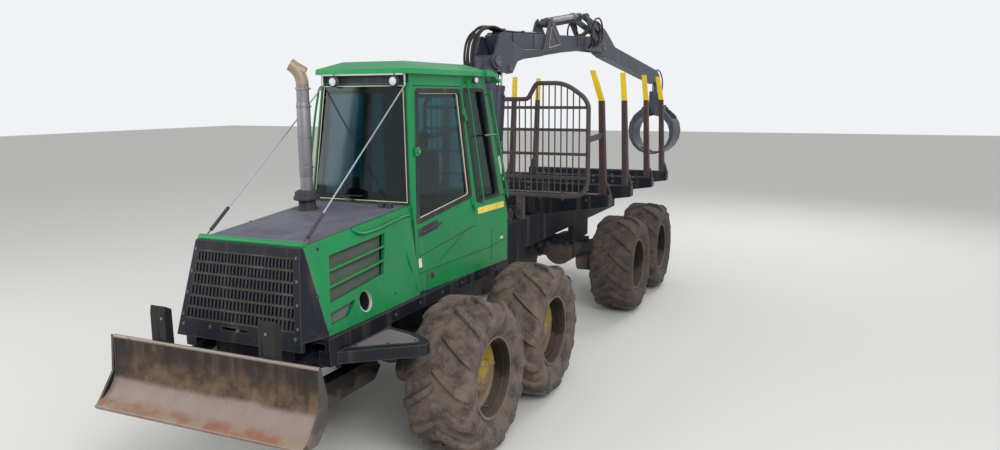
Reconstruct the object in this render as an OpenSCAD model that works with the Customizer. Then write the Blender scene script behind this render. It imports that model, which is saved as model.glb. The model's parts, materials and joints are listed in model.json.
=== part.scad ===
// Forestry forwarder: eight wheels on two bogies, a dozer blade, a cab and a crane over the load bed.
// The front looks along -Y, the machine's left side is +X, the ground is z = 0.
// Every body is drawn from the front bogie's centre, and placed() moves it to the machine's middle.

/* [Wheels] */
// Outer diameter of a tyre over its lugs
tyre_d = 1340; // [1240:10:1400]
// Width of a tyre
tyre_w = 600; // [550:10:650]
// Height of a tread lug
lug_h = 46; // [25:1:60]
// Width of a tread lug round the tyre
lug_w = 84; // [60:1:95]
// Lugs on each half of a tread
lug_count = 14; // [12:1:18]
// Diameter over a rim's lips
rim_d = 710; // [640:10:760]
// Width over a rim's lips
rim_w = 500; // [460:10:540]
// Distance between the outer faces of the left and right tyres
machine_w = 2860; // [2700:10:3000]
// Distance between the two wheels of one bogie
bogie_base = 1470; // [1440:10:1600]
// Distance between the centres of the two bogies
wheel_base = 4940; // [4700:10:5300]

/* [Front frame] */
// Height of the deck that the hood and cab stand on
deck_z = 1300; // [1200:10:1400]
// Half width of the deck
deck_x = 685; // [600:5:700]
// Y of the deck's front edge
deck_front = -2050; // [-2200:10:-1900]
// Y of the deck's rear edge
deck_rear = 1150; // [1000:10:1200]
// Half distance between the main beams
beam_x = 300; // [280:5:340]
// Thickness of a main beam
beam_t = 70; // [40:5:90]
// Height of the beams' underside above the ground
beam_z = 850; // [800:10:900]
// Y of the centre joint's steering pin
joint_y = 1500; // [1450:10:1600]
// Radius of the steering pin
joint_pin_r = 60; // [40:1:80]

/* [Hood] */
// Height of the hood's top at its front edge
hood_front_z = 1950; // [1850:10:2050]
// Height of the hood's top at the cab
hood_rear_z = 2065; // [1950:10:2150]
// Half width of the hood's top at its front edge
hood_top_x = 495; // [400:5:560]
// Half width of the hood's foot
hood_foot_x = 640; // [560:5:660]
// Thickness of the hood's panels
hood_t = 30; // [10:1:50]
// Rows of slots in the grille
grille_rows = 6; // [3:1:8]
// Slots in a row of the grille
grille_slots = 28; // [10:1:32]

/* [Cab] */
// Height of the cab's walls at the roof
cab_top_z = 3130; // [2950:10:3250]
// Y of the cab's front wall at the deck
cab_front = -660; // [-750:10:-600]
// Y of the cab's rear wall at the deck
cab_rear = 1010; // [950:10:1060]
// Half width of the cab's front wall at the deck
cab_front_x = 600; // [540:5:640]
// Thickness of the cab's walls and door
wall_t = 50; // [30:1:70]
// Thickness of the glass
glass_t = 6; // [4:1:10]
// Gap round the door
door_gap = 6; // [3:1:12]
// Thickness of the roof's edge
roof_t = 90; // [60:5:140]
// How far the roof stands out past the walls
roof_out = 40; // [10:5:80]

/* [Blade] */
// Width of the blade
blade_w = 1860; // [1600:10:2400]
// Y of the blade's face at its top edge
blade_y = -2500; // [-2600:10:-2450]
// Height of the blade's top edge, raised
blade_top_z = 1265; // [1200:5:1350]
// Thickness of the blade's plate
blade_t = 25; // [12:1:40]
// Y of the blade arms' pivot
arm_y = -1250; // [-1350:10:-1150]
// Height of the blade arms' pivot
arm_z = 800; // [760:5:840]
// Half distance between the blade arms' centres
arm_x = 470; // [440:5:520]

/* [Load bed] */
// Height of the rear beams' top
rear_beam_z = 1480; // [1400:10:1550]
// Height of a bunk over the rear beams
bunk_h = 280; // [200:10:320]
// Y of the rear frame's end
rear_end = 6850; // [6750:10:7100]
// Half distance between the stakes of a pair
stake_x = 1150; // [1050:5:1200]
// Height of the stakes' tips
stake_top_z = 3330; // [3100:10:3600]
// Height where a stake's painted tip starts
tip_z = 2950; // [2800:10:3100]
// Y of the headboard
head_y = 2600; // [2550:10:2750]
// Half width of the headboard
head_x = 1150; // [1000:10:1200]
// Height of the headboard's raised sides
head_top_z = 3195; // [3000:5:3300]

/* [Crane] */
// Y of the crane's column
column_y = 1950; // [1900:10:2000]
// Angle that the parked crane is slewed to the machine's left
slew_rest = 7; // [0:1:12]
// Height of the boom's pivot pin
boom_pin_z = 3420; // [3400:5:3500]
// Half width of the main boom
boom_x = 95; // [80:1:110]
// Radius of the boom's pivot pin
boom_pin_r = 45; // [35:1:50]
// Radius of the cylinders' eye pins
eye_pin_r = 30; // [22:1:35]
// Radius of the crane cylinders' barrels
ram_r = 68; // [55:1:75]
// Length of the outer boom
outer_len = 2550; // [2300:10:2700]
// Angle of the outer boom below level, parked
outer_drop = 9; // [7:1:11]

/* [Hidden] */

// Clearances: a running pin, a seat between two solids, and a slide
run_fit = 0.05;
seat_gap = 0.3;
slide_gap = 0.5;
eps = 1;
// Width of the cylinders' eyes, and the ears on both sides of an eye
ram_eye_w = 84;
ear_in = ram_eye_w / 2 + 4;
ear_out = ear_in + 25;

// Colours
frame_c = [0.10, 0.12, 0.17];
green_c = [0.14, 0.55, 0.32];
grey_c = [0.38, 0.38, 0.43];
steel_c = [0.33, 0.22, 0.17];
mud_c = [0.40, 0.34, 0.28];
rim_c = [0.66, 0.55, 0.25];
crane_c = [0.32, 0.35, 0.43];
rail_c = [0.30, 0.26, 0.25];
glass_c = [0.55, 0.72, 0.74];

// The cutting edge is the foremost point
edge_y = blade_y - 205;

module placed() { translate([0, -mid_y, 0]) children(); }
module both_sides() { children(); mirror([1, 0, 0]) children(); }
module block(low, high) { translate(low) cube(high - low); }
// A profile in y and z, drawn out along x
module side_plate(profile, x0, x1) {
    translate([x0, 0, 0]) rotate([90, 0, 90]) linear_extrude(x1 - x0) polygon(profile);
}
// A profile in x and z, drawn out along y
module front_plate(profile, y0, y1) {
    translate([0, y1, 0]) rotate([90, 0, 0]) linear_extrude(y1 - y0) polygon(profile);
}
module pin_x(y, z, r, x0, x1) {
    translate([x0, y, z]) rotate([0, 90, 0]) cylinder(h = x1 - x0, r = r, $fn = 40);
}
module pin_y(x, z, r, y0, y1) {
    translate([x, y0, z]) rotate([-90, 0, 0]) cylinder(h = y1 - y0, r = r, $fn = 48);
}
module pin_z(x, y, r, z0, z1) { translate([x, y, z0]) cylinder(h = z1 - z0, r = r, $fn = 48); }
// A round bar from one point to another
module bar(from, to, r) {
    way = to - from;
    translate(from) rotate([0, acos(way[2] / norm(way)), atan2(way[1], way[0])])
        cylinder(h = norm(way), r = r, $fn = 16);
}
// A straight-sided body through outlines that stand over each other, each given as its height and points
module loft(levels) {
    n = len(levels[0][1]);
    last = (len(levels) - 1) * n;
    polyhedron(
        points = [for (level = levels) for (p = level[1]) [p[0], p[1], level[0]]],
        faces = concat([[for (i = [0:n - 1]) i]], [[for (i = [n - 1:-1:0]) last + i]],
            [for (k = [0:n:last - n]) for (i = [0:n - 1])
                [k + i, k + n + i, k + n + (i + 1) % n, k + (i + 1) % n]]));
}
// A flat outline in space, drawn out along a vector
module prism(outline, way) {
    n = len(outline);
    polyhedron(
        points = concat(outline, [for (p = outline) p + way]),
        faces = concat([[for (i = [0:n - 1]) i]], [[for (i = [n - 1:-1:0]) n + i]],
            [for (i = [0:n - 1]) [i, n + i, n + (i + 1) % n, (i + 1) % n]]));
}

// Wheels

axle_z = tyre_d / 2;
wheel_x = (machine_w - tyre_w) / 2;
seat_r = rim_d / 2 - 25;
rim_t = 12;
disc_in = 70;
disc_t = 20;
hub_out = disc_in + 95;
spindle_r = 140;
axle_y = [-bogie_base / 2, bogie_base / 2, wheel_base - bogie_base / 2, wheel_base + bogie_base / 2];

// side is 1 on the left and -1 on the right
module wheel_at(axle, side) {
    placed() translate([side * wheel_x, axle_y[axle - 1], axle_z]) rotate([0, side * 90, 0]) children();
}

module rim() color(rim_c) {
    half = rim_w / 2;
    rotate_extrude($fn = 48) polygon([
        [0, disc_in], [seat_r - rim_t, disc_in], [seat_r - rim_t, -half], [rim_d / 2, -half],
        [rim_d / 2, -half + rim_t], [seat_r, -half + rim_t], [seat_r, half - rim_t],
        [rim_d / 2, half - rim_t], [rim_d / 2, half], [seat_r - rim_t, half],
        [seat_r - rim_t, disc_in + disc_t], [spindle_r, disc_in + disc_t],
        [spindle_r - 10, hub_out - 20], [80, hub_out], [0, hub_out]]);
}

carcass_r = tyre_d / 2 - lug_h;
// A lug's near and far corners in the tread's middle stand half a pitch round the tyre from its own angle
lug_reach = tyre_d / 2 * sin(180 / lug_count);
lug_top = tyre_d / 2 * cos(180 / lug_count);
lug_lean = lug_reach - lug_w / 2;
lug_out = tyre_w / 2 - 14;
shoulder = 85;
// One lug of the left half: it runs out from the tread's middle and drops over the shoulder
module lug() {
    side = [[0, carcass_r - 40], [lug_out, carcass_r - 110], [lug_out, carcass_r - 30],
        [lug_out - shoulder, lug_top], [0, lug_top]];
    prism([for (p = side) [p[1], -lug_lean * (1 - 2 * p[0] / lug_out), p[0]]], [0, lug_w, 0]);
}
module tyre() color(mud_c) {
    bead = rim_w / 2 - rim_t - seat_gap;
    half = tyre_w / 2;
    rotate_extrude($fn = 48) polygon([
        [seat_r + seat_gap, -bead], [rim_d / 2 + 10, -bead], [rim_d / 2 + 90, -half],
            [carcass_r - 70, -half + 25],
        [carcass_r, -half + 110], [carcass_r, half - 110], [carcass_r - 70, half - 25],
            [rim_d / 2 + 90, half],
        [rim_d / 2 + 10, bead], [seat_r + seat_gap, bead]]);
    for (flip = [0, 1], i = [0:lug_count - 1])
        rotate([0, 0, (i + flip / 2) * 360 / lug_count]) mirror([0, 0, flip])
            translate([0, -lug_w / 2, 0]) lug();
}

module tyre_1_left() wheel_at(1, 1) tyre();
module tyre_1_right() wheel_at(1, -1) tyre();
module tyre_2_left() wheel_at(2, 1) tyre();
module tyre_2_right() wheel_at(2, -1) tyre();
module tyre_3_left() wheel_at(3, 1) tyre();
module tyre_3_right() wheel_at(3, -1) tyre();
module tyre_4_left() wheel_at(4, 1) tyre();
module tyre_4_right() wheel_at(4, -1) tyre();
module rim_1_left() wheel_at(1, 1) rim();
module rim_1_right() wheel_at(1, -1) rim();
module rim_2_left() wheel_at(2, 1) rim();
module rim_2_right() wheel_at(2, -1) rim();
module rim_3_left() wheel_at(3, 1) rim();
module rim_3_right() wheel_at(3, -1) rim();
module rim_4_left() wheel_at(4, 1) rim();
module rim_4_right() wheel_at(4, -1) rim();

// Bogies

case_x = 500;
case_t = 170;
case_r = 150;
module bogie() color(frame_c) {
    block([-beam_x - beam_t, -170, axle_z - 110], [beam_x + beam_t, 170, beam_z]);
    pin_y(0, axle_z, 230, -210, 210);
    both_sides() {
        pin_x(0, axle_z, 165, beam_x + beam_t - eps, case_x + eps);
        side_plate([[-bogie_base / 2, axle_z - case_r], [0, axle_z - case_r - 50],
            [bogie_base / 2, axle_z - case_r],
            [bogie_base / 2, axle_z + case_r], [0, axle_z + case_r + 50],
                [-bogie_base / 2, axle_z + case_r]],
            case_x, case_x + case_t);
        for (y = [-bogie_base / 2, bogie_base / 2]) {
            pin_x(y, axle_z, case_r, case_x, case_x + case_t);
            pin_x(y, axle_z, spindle_r - 15, case_x + case_t - eps, wheel_x + disc_in - seat_gap);
        }
    }
}
module front_bogie() placed() bogie();
module rear_bogie() placed() translate([0, wheel_base, 0]) bogie();

// Front frame

ear_t = 80;
ear_low_z = 860;
ear_high_z = deck_z - 40 - ear_t;
// The ears' round tips swing clear of the roll bearing
ear_tip_r = 118;
// Half width of the web between the ears, inside the steering cylinders
web_x = 80;
step_z = 1180;
step_t = 90;
step_in = deck_x - 100;
step_front = -2040;
step_rear = -1230;
step_outline = [[step_in, step_front], [1130, -1600], [1185, -1545], [1180, -1480], [1110, -1405],
    [970, -1330], [step_in, step_rear]];
skirt_h = 100;
module front_chassis() placed() color(frame_c) difference() {
    union() {
        both_sides() {
            side_plate([[deck_front, 1000], [-1500, 900], [arm_y - 120, arm_z - 80],
                [arm_y + 120, arm_z - 80],
                [arm_y + 260, beam_z], [deck_rear, beam_z], [deck_rear, deck_z - 40],
                    [deck_front, deck_z - 40]],
                beam_x, beam_x + beam_t);
            pin_x(arm_y, arm_z, 45, beam_x + beam_t - eps, arm_x + arm_half);
            pin_x(blade_ram_foot[0], blade_ram_foot[1], eye_pin_r, beam_x + beam_t - eps, arm_x + arm_half);
            block([deck_x - 40, deck_front, deck_z - skirt_h], [deck_x, deck_rear, deck_z]);
            // The step in front of the first wheel, and the rail that carries it
            translate([0, 0, step_z - step_t]) linear_extrude(step_t) polygon(step_outline);
            block([step_in, step_front, step_z - step_t], [deck_x, step_rear, deck_z - skirt_h + eps]);
        }
        block([-deck_x, deck_front, deck_z - 40], [deck_x, deck_rear, deck_z]);
        block([-beam_x - eps, deck_front, 1000], [beam_x + eps, deck_front + 60, deck_z - 40]);
        block([-web_x, deck_rear - 200, ear_low_z + ear_t - eps],
            [web_x, deck_rear - 100, ear_high_z + eps]);
        // The two ears of the centre joint
        for (z = [ear_low_z, ear_high_z]) {
            block([-beam_x - eps, deck_rear - 200, z], [beam_x + eps, deck_rear + 60, z + ear_t]);
            translate([0, 0, z]) linear_extrude(ear_t)
                polygon([[-beam_x, deck_rear + 60 - eps], [beam_x, deck_rear + 60 - eps],
                    [ear_tip_r - 8, joint_y + 20], [8 - ear_tip_r, joint_y + 20]]);
            pin_z(0, joint_y, ear_tip_r, z, z + ear_t);
        }
        // Lugs for the steering cylinders
        both_sides() for (z = [steer_z - ear_out, steer_z + ear_in])
            block([beam_x - 150, steer_foot_y - 60, z],
                [beam_x + eps, steer_foot_y + 60, z + ear_out - ear_in]);
        both_sides() pin_z(steer_foot_x, steer_foot_y, eye_pin_r, steer_z - ear_out, steer_z + ear_out);
    }
    pin_z(0, joint_y, joint_pin_r + slide_gap, beam_z, deck_z);
    // The engine stands between the beams, through the deck
    block([-beam_x, engine_front - 20, deck_z - 40 - eps], [beam_x, engine_rear + 20, deck_z + eps]);
}

engine_front = -1850;
engine_rear = -850;
module engine() placed() color(grey_c) {
    block([-beam_x + seat_gap, engine_front, 980], [beam_x - seat_gap, engine_rear, 1120]);
    block([-270, engine_front, 1120 - eps], [270, engine_rear, 1800]);
}

// Hood

hood_front_top = deck_front - 10;
// The cab's front wall leans back as it rises, and so does the hood's rear edge
function cab_front_y(z) = cab_front + cab_lean_y * (z - deck_z);
cab_lean_y = 0.1;
grille_lean = 0.21;
mouth_lean = 0.11;
// The grille's face, and the plane where the green hood ends behind the black nose
function nose_y(z) = hood_front_top - 20 - grille_lean * (hood_front_z - z);
function mouth_y(z) = hood_front_top + 10 + mouth_lean * (hood_front_z - z);
function hood_half(z) = hood_foot_x - (hood_foot_x - hood_top_x) * (z - deck_z) / (hood_front_z - deck_z);
hood_top_rear_x = hood_top_x + 15;
module hood_body(t) {
    zr = hood_rear_z - t;
    zf = hood_front_z - t;
    // The cavity is open below and at both ends
    open = t > 0 ? 1 : 0;
    z0 = deck_z - open;
    foot = hood_foot_x - t;
    low_f = mouth_y(deck_z) - 20 * open;
    top_f = mouth_y(hood_front_z) - 20 * open;
    rear = 30 * open - 8;
    polyhedron(points = [
        [-foot, low_f, z0], [foot, low_f, z0],
        [foot, cab_front_y(z0) + rear, z0], [-foot, cab_front_y(z0) + rear, z0],
        [-hood_top_x + t, top_f, zf], [hood_top_x - t, top_f, zf],
        [hood_top_rear_x - t, cab_front_y(zr) + rear, zr],
            [-hood_top_rear_x + t, cab_front_y(zr) + rear, zr]],
        faces = [[0, 1, 2, 3], [7, 6, 5, 4], [0, 4, 5, 1], [1, 5, 6, 2], [2, 6, 7, 3], [3, 7, 4, 0]]);
}
// Placed on the hood's left side, x outward, y along it and z up it
side_lean = atan((hood_foot_x - hood_top_x) / (hood_front_z - deck_z));
module hood_side() { translate([hood_foot_x, 0, deck_z]) rotate([0, -side_lean, 0]) children(); }
// Corners are named front low, rear low, rear high, front high, along the side and up it
vent = [[-1899, 221], [-1165, 290], [-1042, 620], [-1794, 575]];
low_vent = [[-1942, 68], [-1711, 85], [-1595, 184], [-1924, 152]];
vent_rows = 3;
air_hole = [-1476, 140, 82];
// The part of a four-cornered opening between two shares of its height
function band(quad, low, high) = [quad[0] + (quad[3] - quad[0]) * low, quad[1] + (quad[2] - quad[1]) * low,
    quad[1] + (quad[2] - quad[1]) * high, quad[0] + (quad[3] - quad[0]) * high];
module hood() placed() color(green_c) difference() {
    hood_body(0);
    hood_body(hood_t);
    both_sides() hood_side() {
        for (row = [0:vent_rows - 1])
            side_plate(band(vent, (row + 0.04) / vent_rows, (row + 0.9) / vent_rows), -hood_t * 2, hood_t);
        side_plate(low_vent, -hood_t * 2, hood_t);
        pin_x(air_hole[0], air_hole[1], air_hole[2], -hood_t * 2, hood_t);
    }
}

// The black nose: a grille between two wedges that narrow it towards its foot
grille_tilt = atan(grille_lean);
grille_t = 40;
nose_foot_x = hood_foot_x - 70;
nose_top_x = hood_top_x - 15;
nose_sill = 60;
nose_wall = 45;
function nose_half(z) = nose_foot_x - (nose_foot_x - nose_top_x) * (z - deck_z) / (hood_front_z - deck_z);
// Outline of the nose at a height, with its wall taken off where t is not 0
function nose_outline(z, t) =
    let (front = nose_y(z) + t, back = mouth_y(z) - (t > 0 ? -1 : seat_gap),
        wide = t > 0 ? nose_wall : 0)
    [[wide - nose_half(z), front], [nose_half(z) - wide, front], [hood_half(z) - wide, back],
        [wide - hood_half(z), back]];
// Placed on the front of the nose, x to the left, y inward and z up the grille
module on_nose() { translate([0, nose_y(deck_z), deck_z]) rotate([-grille_tilt, 0, 0]) children(); }
module grille() placed() color(frame_c) difference() {
    top = (hood_front_z - deck_z) / cos(grille_tilt);
    union() {
        loft([[deck_z + seat_gap, nose_outline(deck_z, 0)], [hood_front_z, nose_outline(hood_front_z, 0)]]);
        // The sill hangs in front of the deck
        on_nose() front_plate([[-nose_foot_x - 8, -nose_sill], [nose_foot_x + 8, -nose_sill],
            [nose_foot_x, eps], [-nose_foot_x, eps]], 0, grille_t);
    }
    loft([[deck_z + 40, nose_outline(deck_z + 40, grille_t)],
        [hood_front_z - 50, nose_outline(hood_front_z - 50, grille_t)]]);
    row_h = (top - 150) / grille_rows;
    on_nose() for (row = [0:grille_rows - 1]) {
        z = 75 + row * row_h;
        wide = nose_half(deck_z + z) - nose_wall - 12;
        pitch = 2 * wide / grille_slots;
        for (i = [0:grille_slots - 1])
            block([-wide + (i + 0.2) * pitch, -1, z + 9],
                [-wide + (i + 0.8) * pitch, grille_t + 15, z + row_h - 9]);
    }
    // The long slot in the sill
    on_nose() block([-150, -1, 22], [90, grille_t + 15, 44]);
}

// Exhaust stack on the right half of the hood
stack_x = -300;
stack_y = -960;
stack_r = 55;
stack_top_z = 3140;
bend_r = 120;
hood_slope = atan((hood_rear_z - hood_front_z) / (cab_front_y(hood_rear_z) - 8 - mouth_y(hood_front_z)));
function hood_top_z(y) = hood_front_z + (y - mouth_y(hood_front_z)) * tan(hood_slope);
module exhaust() placed() color(grey_c) {
    // The foot with its hat, which keeps rain off the hole in the hood
    translate([stack_x, stack_y, hood_top_z(stack_y) + seat_gap]) rotate([hood_slope, 0, 0])
        rotate_extrude($fn = 48) polygon([[0, 0], [90, 0], [90, 12], [74, 12], [74, 92], [112, 100],
            [112, 122],
            [98, 138], [98, 160], [70, 178], [0, 178]]);
    pin_z(stack_x, stack_y, stack_r, hood_top_z(stack_y) + 130, stack_top_z);
    pin_z(stack_x, stack_y, stack_r + 4, stack_top_z - 15, stack_top_z + 15);
    translate([stack_x, stack_y - bend_r, stack_top_z]) rotate([90, 0, 90])
        rotate_extrude(angle = 75, $fn = 48) translate([bend_r, 0]) circle(r = stack_r, $fn = 32);
}

// Cab

// The cab's side walls widen to the rear and lean inward as they rise
side_flare = 0.085;
side_lean_x = 0.0848;
function cab_side_x(y, z) = cab_front_x + side_flare * (y - cab_front) - side_lean_x * (z - deck_z);
// The rear wall leans out up to the waist, and in above it
waist_z = 1780;
waist_y = cab_rear + 90;
cab_rear_lean = 0.185;
function cab_rear_y(z) = z < waist_z ? waist_y - (waist_y - cab_rear) * (waist_z - z) / (waist_z - deck_z)
    : waist_y - cab_rear_lean * (z - waist_z);
function cab_outline(z, t) =
    let (yf = cab_front_y(z) + t, yr = cab_rear_y(z) - t)
    [[-cab_side_x(yf, z) + t, yf], [cab_side_x(yf, z) - t, yf], [cab_side_x(yr, z) - t, yr],
        [-cab_side_x(yr, z) + t, yr]];

// Placed on the cab's left wall, x outward, y along it and z up it
module cab_side() {
    translate([cab_front_x, cab_front, deck_z]) rotate([0, 0, -atan(side_flare)])
        rotate([0, -atan(side_lean_x * cos(atan(side_flare))), 0]) children();
}
// Placed on the cab's front wall, x to the left, y inward and z up it
module cab_nose() { translate([0, cab_front, deck_z]) rotate([-atan(cab_lean_y), 0, 0]) children(); }
// Placed on the cab's rear wall above the waist, x to the left, y outward and z up it
module cab_back() { translate([0, waist_y, waist_z]) rotate([atan(cab_rear_lean), 0, 0]) children(); }

// Corners are named front low, rear low, rear high, front high, along the wall and up it
door_edge = [[77, 315], [1088, 455], [1020, 1805], [232, 1805]];
door_glass = [[112, 610], [1045, 745], [988, 1772], [266, 1772]];
rear_glass = [[1160, 680], [1600, 700], [1440, 1780], [1062, 1780]];
nose_glass = [[-420, 830], [420, 830], [375, 1760], [-375, 1760]];
back_glass = [[-560, 150], [560, 150], [470, 1290], [-470, 1290]];
function grown(quad, gap) = [quad[0] + [-gap, -gap], quad[1] + [gap, -gap], quad[2] + [gap, gap],
    quad[3] + [-gap, gap]];

module cab_shell() placed() color(green_c) {
    difference() {
        loft([for (z = [deck_z, waist_z, cab_top_z]) [z, cab_outline(z, 0)]]);
        loft([for (z = [deck_z + 40, waist_z, cab_top_z + 10]) [z, cab_outline(z, wall_t)]]);
        cab_side() side_plate(grown(door_edge, door_gap), -wall_t * 2, wall_t);
        mirror([1, 0, 0]) cab_side() side_plate(door_glass, -wall_t * 2, wall_t);
        both_sides() cab_side() side_plate(rear_glass, -wall_t * 2, wall_t);
        cab_nose() front_plate(nose_glass, -wall_t, wall_t * 2);
        cab_back() front_plate(back_glass, -wall_t * 2, wall_t);
    }
    // Hinge leaves on the pillar behind the door
    cab_side() for (k = [0.15, 0.8]) hinge_part(k, 1);
}
hinge_r = 14;
leaf_w = 40;
hinge_low = door_edge[1] + [door_gap / 2, 0];
hinge_high = door_edge[2] + [door_gap / 2, 0];
// One knuckle of a door hinge at a share of the hinge line's length; turn is 1 on the cab, -1 on the door
module hinge_part(share, turn) {
    foot = hinge_low + (hinge_high - hinge_low) * share;
    tilt = atan((hinge_low[0] - hinge_high[0]) / (hinge_high[1] - hinge_low[1]));
    translate([hinge_r, foot[0], foot[1]]) rotate([tilt, 0, 0]) {
        translate([0, 0, turn > 0 ? -60 - seat_gap : 0]) difference() {
            union() {
                cylinder(h = 60, r = hinge_r, $fn = 24);
                block([-hinge_r - eps, turn > 0 ? 0 : -leaf_w, 0], [0, turn > 0 ? leaf_w : 0, 60]);
            }
            if (turn > 0) translate([0, 0, -1]) cylinder(h = 62, r = 7 + run_fit, $fn = 24);
        }
        if (turn < 0) translate([0, 0, -50]) cylinder(h = 51, r = 7, $fn = 24);
    }
}

module door() placed() color(green_c) cab_side() {
    difference() {
        side_plate(door_edge, -wall_t, 0);
        side_plate(door_glass, -wall_t - 1, 1);
    }
    for (k = [0.15, 0.8]) hinge_part(k, -1);
}
module door_window() placed() color(glass_c) cab_side()
    side_plate(door_glass, -wall_t / 2 - glass_t, -wall_t / 2);

module cab_windows() placed() color(glass_c) {
    mirror([1, 0, 0]) cab_side() side_plate(door_glass, -wall_t / 2 - glass_t, -wall_t / 2);
    both_sides() cab_side() side_plate(rear_glass, -wall_t / 2 - glass_t, -wall_t / 2);
    cab_nose() front_plate(nose_glass, wall_t / 2, wall_t / 2 + glass_t);
    cab_back() front_plate(back_glass, -wall_t / 2 - glass_t, -wall_t / 2);
}

// The roof: a flat underside on the walls, a thick edge and a crown that drops at the rear
function roof_outline(out) =
    let (z = cab_top_z, yf = cab_front_y(z) - out, yr = cab_rear_y(z) + out)
    [[-cab_side_x(yf, z) - out, yf], [cab_side_x(yf, z) + out, yf], [cab_side_x(yr, z) + out, yr],
        [-cab_side_x(yr, z) - out, yr]];
module cab_roof() placed() color(green_c) {
    edge_z = cab_top_z + roof_t;
    loft([[cab_top_z, roof_outline(roof_out)], [edge_z, roof_outline(roof_out - 5)],
        [edge_z + 45, roof_outline(-150)]]);
    // The visor that droops over the rear window
    half = cab_side_x(waist_y, cab_top_z) + roof_out - 10;
    side_plate([[780, cab_top_z + eps], [960, cab_top_z + eps], [1125, cab_top_z - 60],
        [1140, cab_top_z - 35],
        [1020, cab_top_z + 62], [880, edge_z + 12], [780, edge_z + 12]], -half, half);
}

module seat() placed() color([0.2, 0.2, 0.22]) {
    block([-260, -150, 1760], [260, 400, 1880]);
    block([-250, 330, 1880 - eps], [250, 450, 2500]);
    block([-200, -50, deck_z + 40], [200, 350, 1760 + eps]);
}

lamp_r = 55;
lamp_z = cab_top_z - lamp_r - 20;
module lamp(x, y, turn) {
    translate([x, y, lamp_z]) rotate([90, 0, turn]) {
        cylinder(h = 50, r = lamp_r, $fn = 32);
        translate([-8, 0, 5]) cube([16, cab_top_z - lamp_z - seat_gap, 30]);
    }
}
module work_lamps() placed() color(frame_c) {
    both_sides() lamp(300, cab_front_y(lamp_z - lamp_r) - 4, 0);
    both_sides() lamp(420, cab_rear_y(lamp_z - lamp_r) + 4, 180);
}

// Rods in front of the rear side window's edge: the upright's ends, along the wall and up it
guard_out = 60;
guard_top = [1490, 1765];
guard_foot = [1690, 660];
function guard_at(share) = guard_top + (guard_foot - guard_top) * share;
module window_guards() placed() color(frame_c) both_sides() cab_side() {
    bar([guard_out, guard_top[0], guard_top[1]], [guard_out, guard_foot[0], guard_foot[1]], 12);
    for (p = [guard_at(0.03), guard_at(0.97)]) bar([guard_out, p[0], p[1]], [seat_gap, p[0], p[1]], 9);
    bar([guard_out, guard_at(0.4)[0], guard_at(0.4)[1]], [guard_out, guard_at(0.4)[0] - 260,
        guard_at(0.4)[1]], 8);
}

wire_foot = [455, deck_front + 60, hood_top_z(deck_front + 60) + 15];
wire_head = [430, cab_front_y(cab_top_z) - 20, cab_top_z - 25];
module guard_wires() placed() color(grey_c) both_sides() {
    way = wire_head - wire_foot;
    bar(wire_foot, wire_head, 6);
    bar(wire_foot + way * 0.03, wire_foot + way * 0.16, 14);
    bar(wire_foot - [0, 0, 13.5], wire_foot + [0, 0, 5], 14);
    bar(wire_head - [0, 0, 5], wire_head + [0, 0, 25 - seat_gap], 10);
}

// Blade

arm_half = 60;
blade_ram_foot = [-1780, 1170];
blade_ram_eye = [-2330, 1060];
// The blade's face runs down, then curls forward in an arc to its cutting edge
curl_r = 250;
curl_z = 1045;
function blade_face(grow) = concat([[blade_y + grow, blade_top_z]],
    [for (a = [0:15:75]) [blade_y - curl_r + (curl_r + grow) * cos(a), curl_z - (curl_r + grow) * sin(a)]]);
function blade_profile() = concat(blade_face(0),
    [[edge_y, 790], [edge_y + 10, 765]], [for (i = [6:-1:0]) blade_face(blade_t)[i]]);
module blade() placed() color(steel_c) difference() {
    union() {
        side_plate(blade_profile(), -blade_w / 2, blade_w / 2);
        // End plates, and two uprights that lean against the top edge
        both_sides() side_plate([[blade_y, blade_top_z + 10], [blade_y + 55, 1060], [blade_y + 50, 900],
            [blade_y - 60, 780], [edge_y + 40, 770], [edge_y + 40, 800], [blade_y - 140, 830],
                [blade_y - 20, 1000]],
            blade_w / 2 - eps, blade_w / 2 + 20);
        both_sides() side_plate([[blade_y + blade_t - eps, 900], [blade_y + 100, 900], [blade_y + 90, 1500],
            [blade_y + blade_t + 10, 1530], [blade_y + blade_t - eps, 1480]], 420, 560);
        // Arms
        both_sides() side_plate([[blade_y + blade_t - eps, 850], [-2300, 700], [arm_y, arm_z - 90],
            [arm_y + 90, arm_z], [arm_y, arm_z + 90], [-2300, 900], [blade_y + blade_t - eps, 1120]],
            arm_x - arm_half, arm_x + arm_half);
        // Ears for the cylinders' rods
        both_sides() for (side = [-1, 1])
            side_plate([[blade_y + blade_t - eps, 1010], [blade_ram_eye[0] + 20, 1000],
                [blade_ram_eye[0] + 60, 1060],
                [blade_ram_eye[0] + 20, 1120], [blade_y + blade_t - eps, 1130]],
                arm_x + side * (ear_in + 12) - 12, arm_x + side * (ear_in + 12) + 12);
        // Cross tube between the arms
        pin_x(-2150, 800, 60, -arm_x + arm_half - eps, arm_x - arm_half + eps);
    }
    both_sides() pin_x(arm_y, arm_z, 45 + run_fit, arm_x - 100, arm_x + 100);
}

// Hydraulic cylinders: each lies along +Y from its foot eye, in the plane across the eye pins
function span(a, b) = norm(b - a);
function rise(a, b) = atan2(b[1] - a[1], b[0] - a[0]);
module ram_place(foot, eye) { translate([0, foot[0], foot[1]]) rotate([rise(foot, eye), 0, 0]) children(); }
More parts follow.
